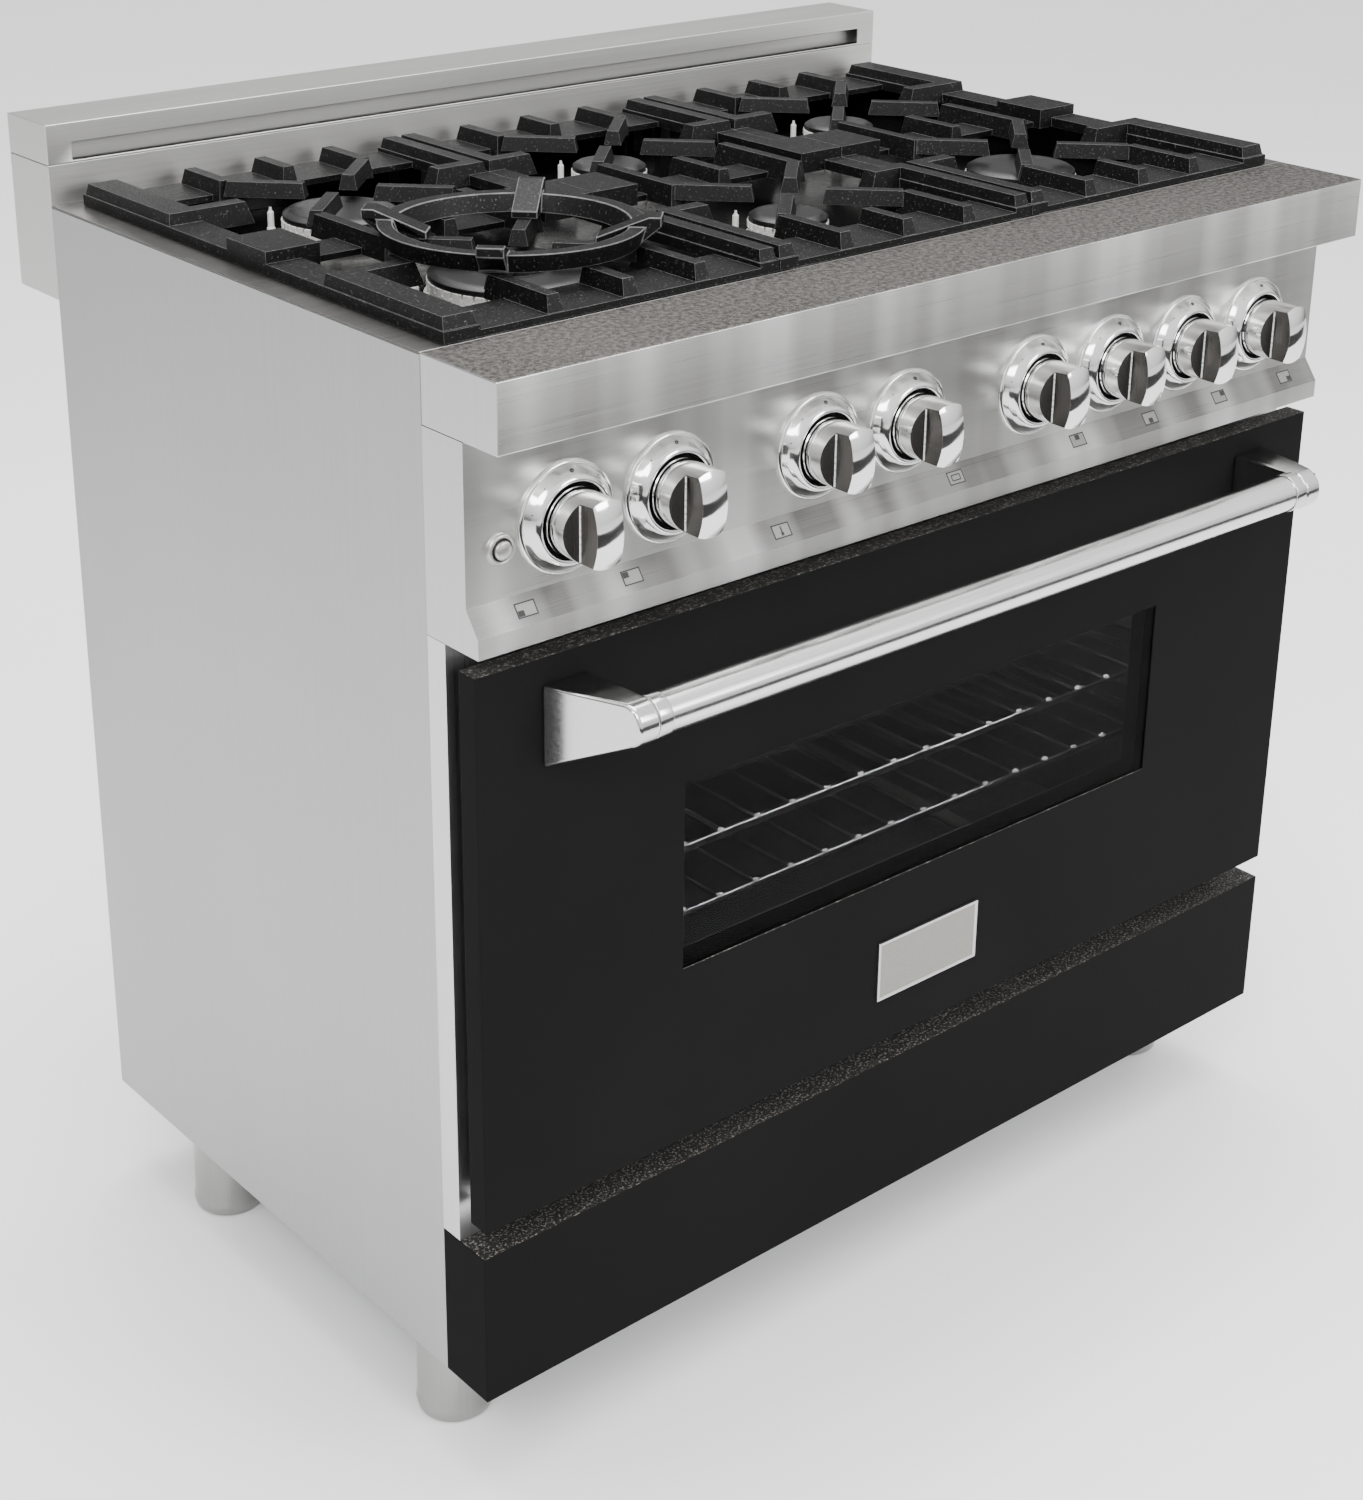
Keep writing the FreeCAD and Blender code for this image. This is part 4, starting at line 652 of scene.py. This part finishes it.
def printed_marks():
    """Burner-position marks on the sloping lip: a small outline with one dark corner."""
    slope_low = Vector((0, LIP_Y, LIP_SLOPE[0]))
    slope_high = Vector((0, FASCIA, LIP_SLOPE[1]))
    slope = (slope_high - slope_low).normalized()
    outward = Vector((0, -slope.z, slope.y))
    centre = (slope_low + slope_high) / 2

    def strip(x, u, width, rise, lift=0.12):
        """Rectangle on the slope, centred u millimetres up it, and lift millimetres off it."""
        base = centre + outward * lift * MM
        corners = []
        for du, dx in ((-1, -1), (-1, 1), (1, 1), (1, -1)):
            spot = base + slope * (u + du * rise / 2) * MM
            corners.append((x + dx * width / 2 * MM, spot.y, spot.z))
        return corners

    def flat(name, rectangles, material):
        work = bmesh.new()
        for corners in rectangles:
            work.faces.new([work.verts.new(corner) for corner in corners])
        bmesh.ops.recalc_face_normals(work, faces=work.faces)
        solid = bmesh.ops.extrude_face_region(work, geom=work.faces[:])
        bmesh.ops.translate(work, vec=-outward * 0.3 * MM,
                            verts=[g for g in solid["geom"] if isinstance(g, bmesh.types.BMVert)])
        bmesh.ops.recalc_face_normals(work, faces=work.faces)
        mesh = bpy.data.meshes.new(name)
        work.to_mesh(mesh)
        work.free()
        piece(name, mesh, material, "range")

    width, rise, line = 16.0, 10.0, 1.0
    ink, fields = [], []
    for i, x in MARK_X.items():
        for side in (-1, 1):
            ink.append(strip(x, side * rise / 2, width + line, line))
            ink.append(strip(x + side * width / 2 * MM, 0, line, rise))
        fields.append(strip(x, 0, width - line, rise - line, 0.08))
        if i in BURNER_KNOBS:
            across, up = BURNER_KNOBS[i]
            ink.append(strip(x + across * width * 0.30 * MM, up * rise * 0.22, width * 0.32, rise * 0.42, 0.14))
        elif i == 3:
            ink.append(strip(x, 0.8, 1.2, rise * 0.55, 0.14))
            ink.append(strip(x, -rise * 0.24, 2.6, 2.6, 0.14))
        else:
            for side in (-1, 1):
                ink.append(strip(x, side * rise * 0.22, width * 0.55, line, 0.14))
                ink.append(strip(x + side * width * 0.275 * MM, 0, line, rise * 0.44, 0.14))
    flat("position_marks", ink, INK)
    flat("position_fields", fields, PALE_INK)


# ------------------------------------------------------------------ door
def handle():
    """Round bar between two tapered brackets with rounded noses, each with a collar."""
    half = (high("handle_bar").x - low("handle_bar").x) / 2 / MM
    radius = BAR_RADIUS / MM
    profile = [(-half, radius - 2), (-half, radius - 0.5), (-half + 0.5, radius), (half - 0.5, radius),
               (half, radius - 0.5), (half, radius - 2)]
    piece("handle_bar_look", lathe("bar", profile, "x", 96), BAR, "door", HANDLE, ("handle_bar",))
    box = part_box("handle_brackets")
    outer = box[1].x
    nose = HANDLE.y - box[0].y
    inner = half * MM + 0.4 * MM
    root = DOOR_FRONT - 0.3 * MM
    outline = [(root, BRACKET_TOP), (root, box[0].z)]
    start, end, steps = -74, 84, 24
    for i in range(steps + 1):
        angle = math.radians(start + (end - start) * i / steps)
        outline.append((HANDLE.y - nose * math.cos(angle), HANDLE.z + nose * math.sin(angle)))
    for sign, side in ((-1, "left"), (1, "right")):
        work = bmesh.new()

        def taper(y):
            share = (root - y) / (root - HANDLE.y)
            return outer - min(share, 1.15) * (outer - BRACKET_TIP_X)

        near = [work.verts.new((sign * inner, y, z)) for y, z in outline]
        far = [work.verts.new((sign * taper(y), y, z)) for y, z in outline]
        work.faces.new(near)
        work.faces.new(list(reversed(far)))
        for i in range(len(outline)):
            j = (i + 1) % len(outline)
            work.faces.new([near[i], near[j], far[j], far[i]])
        bmesh.ops.recalc_face_normals(work, faces=work.faces)
        mesh = bpy.data.meshes.new("bracket_" + side)
        work.to_mesh(mesh)
        work.free()
        item = piece(f"bracket_{side}_look", mesh, BRACKET, "door", stands_for=("handle_brackets",))
        bevelled(item, 2.6 * MM, 4, 28)
        ring = [(0, radius - 1), (0, radius + 0.9), (0.6, radius + 1.3), (BAR_ENDS - 0.6, radius + 1.3),
                (BAR_ENDS, radius + 0.9), (BAR_ENDS, radius - 1)]
        collar = lathe("collar_" + side, rounded(ring, 0.5), "x", 96)
        piece(f"collar_{side}", collar, BRACKET, "door",
              (sign * inner - (BAR_ENDS * MM if sign > 0 else 0), HANDLE.y, HANDLE.z))


def name_plate():
    """Blank satin plate with a bevelled rim and a shallow recessed field."""
    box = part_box("name_plate")
    work = bmesh.new()
    bmesh.ops.create_cube(work, size=1.0)
    size = box[1] - box[0]
    spot = (box[0] + box[1]) / 2
    bmesh.ops.scale(work, vec=size, verts=work.verts)
    bmesh.ops.translate(work, vec=spot, verts=work.verts)
    front = [face for face in work.faces if face.normal.y < -0.5]
    bmesh.ops.inset_region(work, faces=front, thickness=3.0 * MM, depth=0.0)
    bmesh.ops.inset_region(work, faces=front, thickness=1.0 * MM, depth=-0.7 * MM)
    mesh = bpy.data.meshes.new("plate")
    work.to_mesh(mesh)
    work.free()
    item = piece("name_plate_look", mesh, PLATE, "door", stands_for=("name_plate",))
    bevelled(item, 0.4 * MM, 2, 20)
    paint_by(item, CONSOLE_END, lambda face, normal: face.y < box[0].y + 0.3 * MM or abs(normal.y) < 0.9)


def door():
    handle()
    name_plate()
    refined("door_liner", OVEN, 0.5 * MM)
    refined("door_glass", GLASS, 0)
    refined("door_gasket", RUBBER, 0.8 * MM, 2)
    refined("door_hinges", TUBE, 0.5 * MM)


# ------------------------------------------------------------------ inside, rear and feet
def rack_welds(node):
    """Small weld beads where the wires of a rack meet its end bars, coloured near-white as painted glints."""
    start, end = low(node), high(node)
    half = (end.x - start.x) / 2 - BAR_WIRE
    bead = lathe("bead", [(-3.0, 0), (-2.4, 1.8), (0, 2.9), (2.4, 1.8), (3.0, 0)], segments=12)
    inset = BAR_WIRE + 1.0 * MM
    spots = [Matrix.Translation((2 * half * i / WIRES - half, y, end.z - 0.8 * MM))
             for i in range(1, WIRES) for y in (start.y + inset, end.y - inset)]
    mesh = merged(node + "_welds", [(bead, spot) for spot in spots])
    piece(node + "_welds", mesh, WELD_GLINT, body_of(node))


def inner_parts():
    # Legs take the darkened steel: painted shade under the range.
    for name in ("front_left", "front_right", "rear_left", "rear_right"):
        refined("leg_" + name, LEG_SHADE, 0.5 * MM, 2, 40)
    # The racks and guides take the darkened chrome: painted shade.
    for node, material in (("oven_liner", OVEN), ("fan_cover", OVEN), ("oven_burners", TUBE), ("gas_manifold", TUBE),
                           ("rack_guides", RACK_SHADE), ("rack_lower", RACK_SHADE), ("rack_upper", RACK_SHADE),
                           ("fan_motor", ZINC), ("fan_impeller", ZINC), ("oven_lamp", BULB),
                           ("valves_and_controls", BRASS), ("body_screws", SCREW)):
        refined(node, material, 0, angle=40)
    for node in ("rack_lower", "rack_upper"):
        rack_welds(node)
    refined("oven_insulation", WOOL, 0)
    for i in (1, 2, 5, 6, 7, 8):
        refined(f"valve_stem_{i}", BRASS, 0, angle=40)


panels()
cooktop()
console()
printed_marks()
door()
inner_parts()


# ------------------------------------------------------------------ studio
def area(name, where, target, size, power):
    """Soft rectangular lamp that points at a target."""
    light = bpy.data.lights.new(name, "AREA")
    light.shape = "RECTANGLE"
    light.size, light.size_y = size
    light.energy = power
    item = bpy.data.objects.new(name, light)
    item.location = where
    item.rotation_euler = (Vector(target) - Vector(where)).to_track_quat("-Z", "Y").to_euler()
    bpy.context.scene.collection.objects.link(item)


def studio_floor():
    """Plain pale paper under the range."""
    half = 14
    outline = [(-half, -half), (half, -half), (half, half), (-half, half)]
    floor = bpy.data.objects.new("floor", prism("floor", outline, -0.02, 0.0))
    bpy.context.scene.collection.objects.link(floor)
    shade = Shader("floor_paper", (0.92, 0.92, 0.92), 0.0, 0.8)
    soft = shade.noise(3.0, (1, 1, 1), 3.0)
    shade.colour(shade.mix(shade.remap(soft, 0.0, 1.0), (0.91, 0.91, 0.91), (0.93, 0.93, 0.93)))
    shade.bump(shade.noise(120.0), 0.02, 0.0002)
    floor.data.materials.append(shade.material)


def studio_world():
    """Soft light that grows from low behind the range to high in front; a plain pale backdrop is seen direct."""
    world = bpy.data.worlds.new("studio")
    bpy.context.scene.world = world
    world.use_nodes = True
    tree = world.node_tree
    place = tree.nodes.new("ShaderNodeTexCoord").outputs["Generated"]
    lean = tree.nodes.new("ShaderNodeVectorMath")
    lean.operation = "DOT_PRODUCT"
    lean.inputs[1].default_value = (0.0, -0.45, 1.0)
    ramp = tree.nodes.new("ShaderNodeValToRGB")
    tree.links.new(place, lean.inputs[0])
    tree.links.new(lean.outputs["Value"], ramp.inputs["Fac"])
    stops = ramp.color_ramp.elements
    stops[0].position, stops[0].color = 0.0, (0.10, 0.10, 0.10, 1)
    stops[1].position, stops[1].color = 1.0, (1, 1, 1, 1)
    for position, tone in ((0.12, 0.10), (0.32, 0.62), (0.60, 0.95)):
        stops.new(position).color = (tone, tone, tone, 1)
    background = tree.nodes["Background"]
    tree.links.new(ramp.outputs["Color"], background.inputs["Color"])
    background.inputs["Strength"].default_value = WORLD_STRENGTH
    backdrop = tree.nodes.new("ShaderNodeBackground")
    backdrop.inputs["Color"].default_value = (0.9, 0.9, 0.9, 1)
    backdrop.inputs["Strength"].default_value = BACKDROP_STRENGTH
    seen = tree.nodes.new("ShaderNodeMixShader")
    tree.links.new(tree.nodes.new("ShaderNodeLightPath").outputs["Is Camera Ray"], seen.inputs[0])
    tree.links.new(background.outputs[0], seen.inputs[1])
    tree.links.new(backdrop.outputs[0], seen.inputs[2])
    tree.links.new(seen.outputs[0], tree.nodes["World Output"].inputs["Surface"])


def studio_card():
    """Black card in front of the range, which only reflections show."""
    left, right, front, rear = -1.7, 2.5, -1.27, -1.25
    outline = [(left, front), (right, front), (right, rear), (left, rear)]
    card = bpy.data.objects.new("card", prism("card", outline, 0.14, 0.54))
    card.data.materials.append(SHADE_AND_FLAG_BLACK)
    card.visible_camera = card.visible_diffuse = card.visible_shadow = card.visible_transmission = False
    bpy.context.scene.collection.objects.link(card)


def studio_lights():
    area("key", (-2.6, -1.8, 3.0), (0, 0, 0.6), (1.6, 1.6), 90)
    area("front", (1.2, -3.2, 2.2), (0.1, -0.2, 0.6), (1.2, 1.2), 60)
    area("top", (0.2, 0.2, 3.4), (0, 0, 0.8), (2.4, 2.4), 160)
    area("oven", (0.0, -0.15, 0.625), (0.0, -0.20, 0.30), (0.66, 0.03), 8.0)


def studio_camera():
    camera = bpy.data.cameras.new("camera")
    camera.sensor_fit = "AUTO"
    camera.sensor_width = 36
    camera.lens = CAMERA_LENS
    camera.shift_y = CAMERA_SHIFT
    camera.clip_end = 100
    item = bpy.data.objects.new("camera", camera)
    yaw, pitch, roll = (math.radians(value) for value in CAMERA_TURN)
    forward = Vector((math.sin(yaw) * math.cos(pitch), math.cos(yaw) * math.cos(pitch), -math.sin(pitch)))
    level = Vector((math.cos(yaw), -math.sin(yaw), 0))
    upright = level.cross(forward)
    right = level * math.cos(roll) + upright * math.sin(roll)
    up = upright * math.cos(roll) - level * math.sin(roll)
    turn = Matrix((right, up, -forward)).transposed().to_4x4()
    item.matrix_world = Matrix.Translation(CAMERA_PLACE) @ turn
    bpy.context.scene.collection.objects.link(item)
    bpy.context.scene.camera = item


studio_floor()
studio_world()
studio_card()
studio_lights()
studio_camera()
bpy.context.view_layer.update()
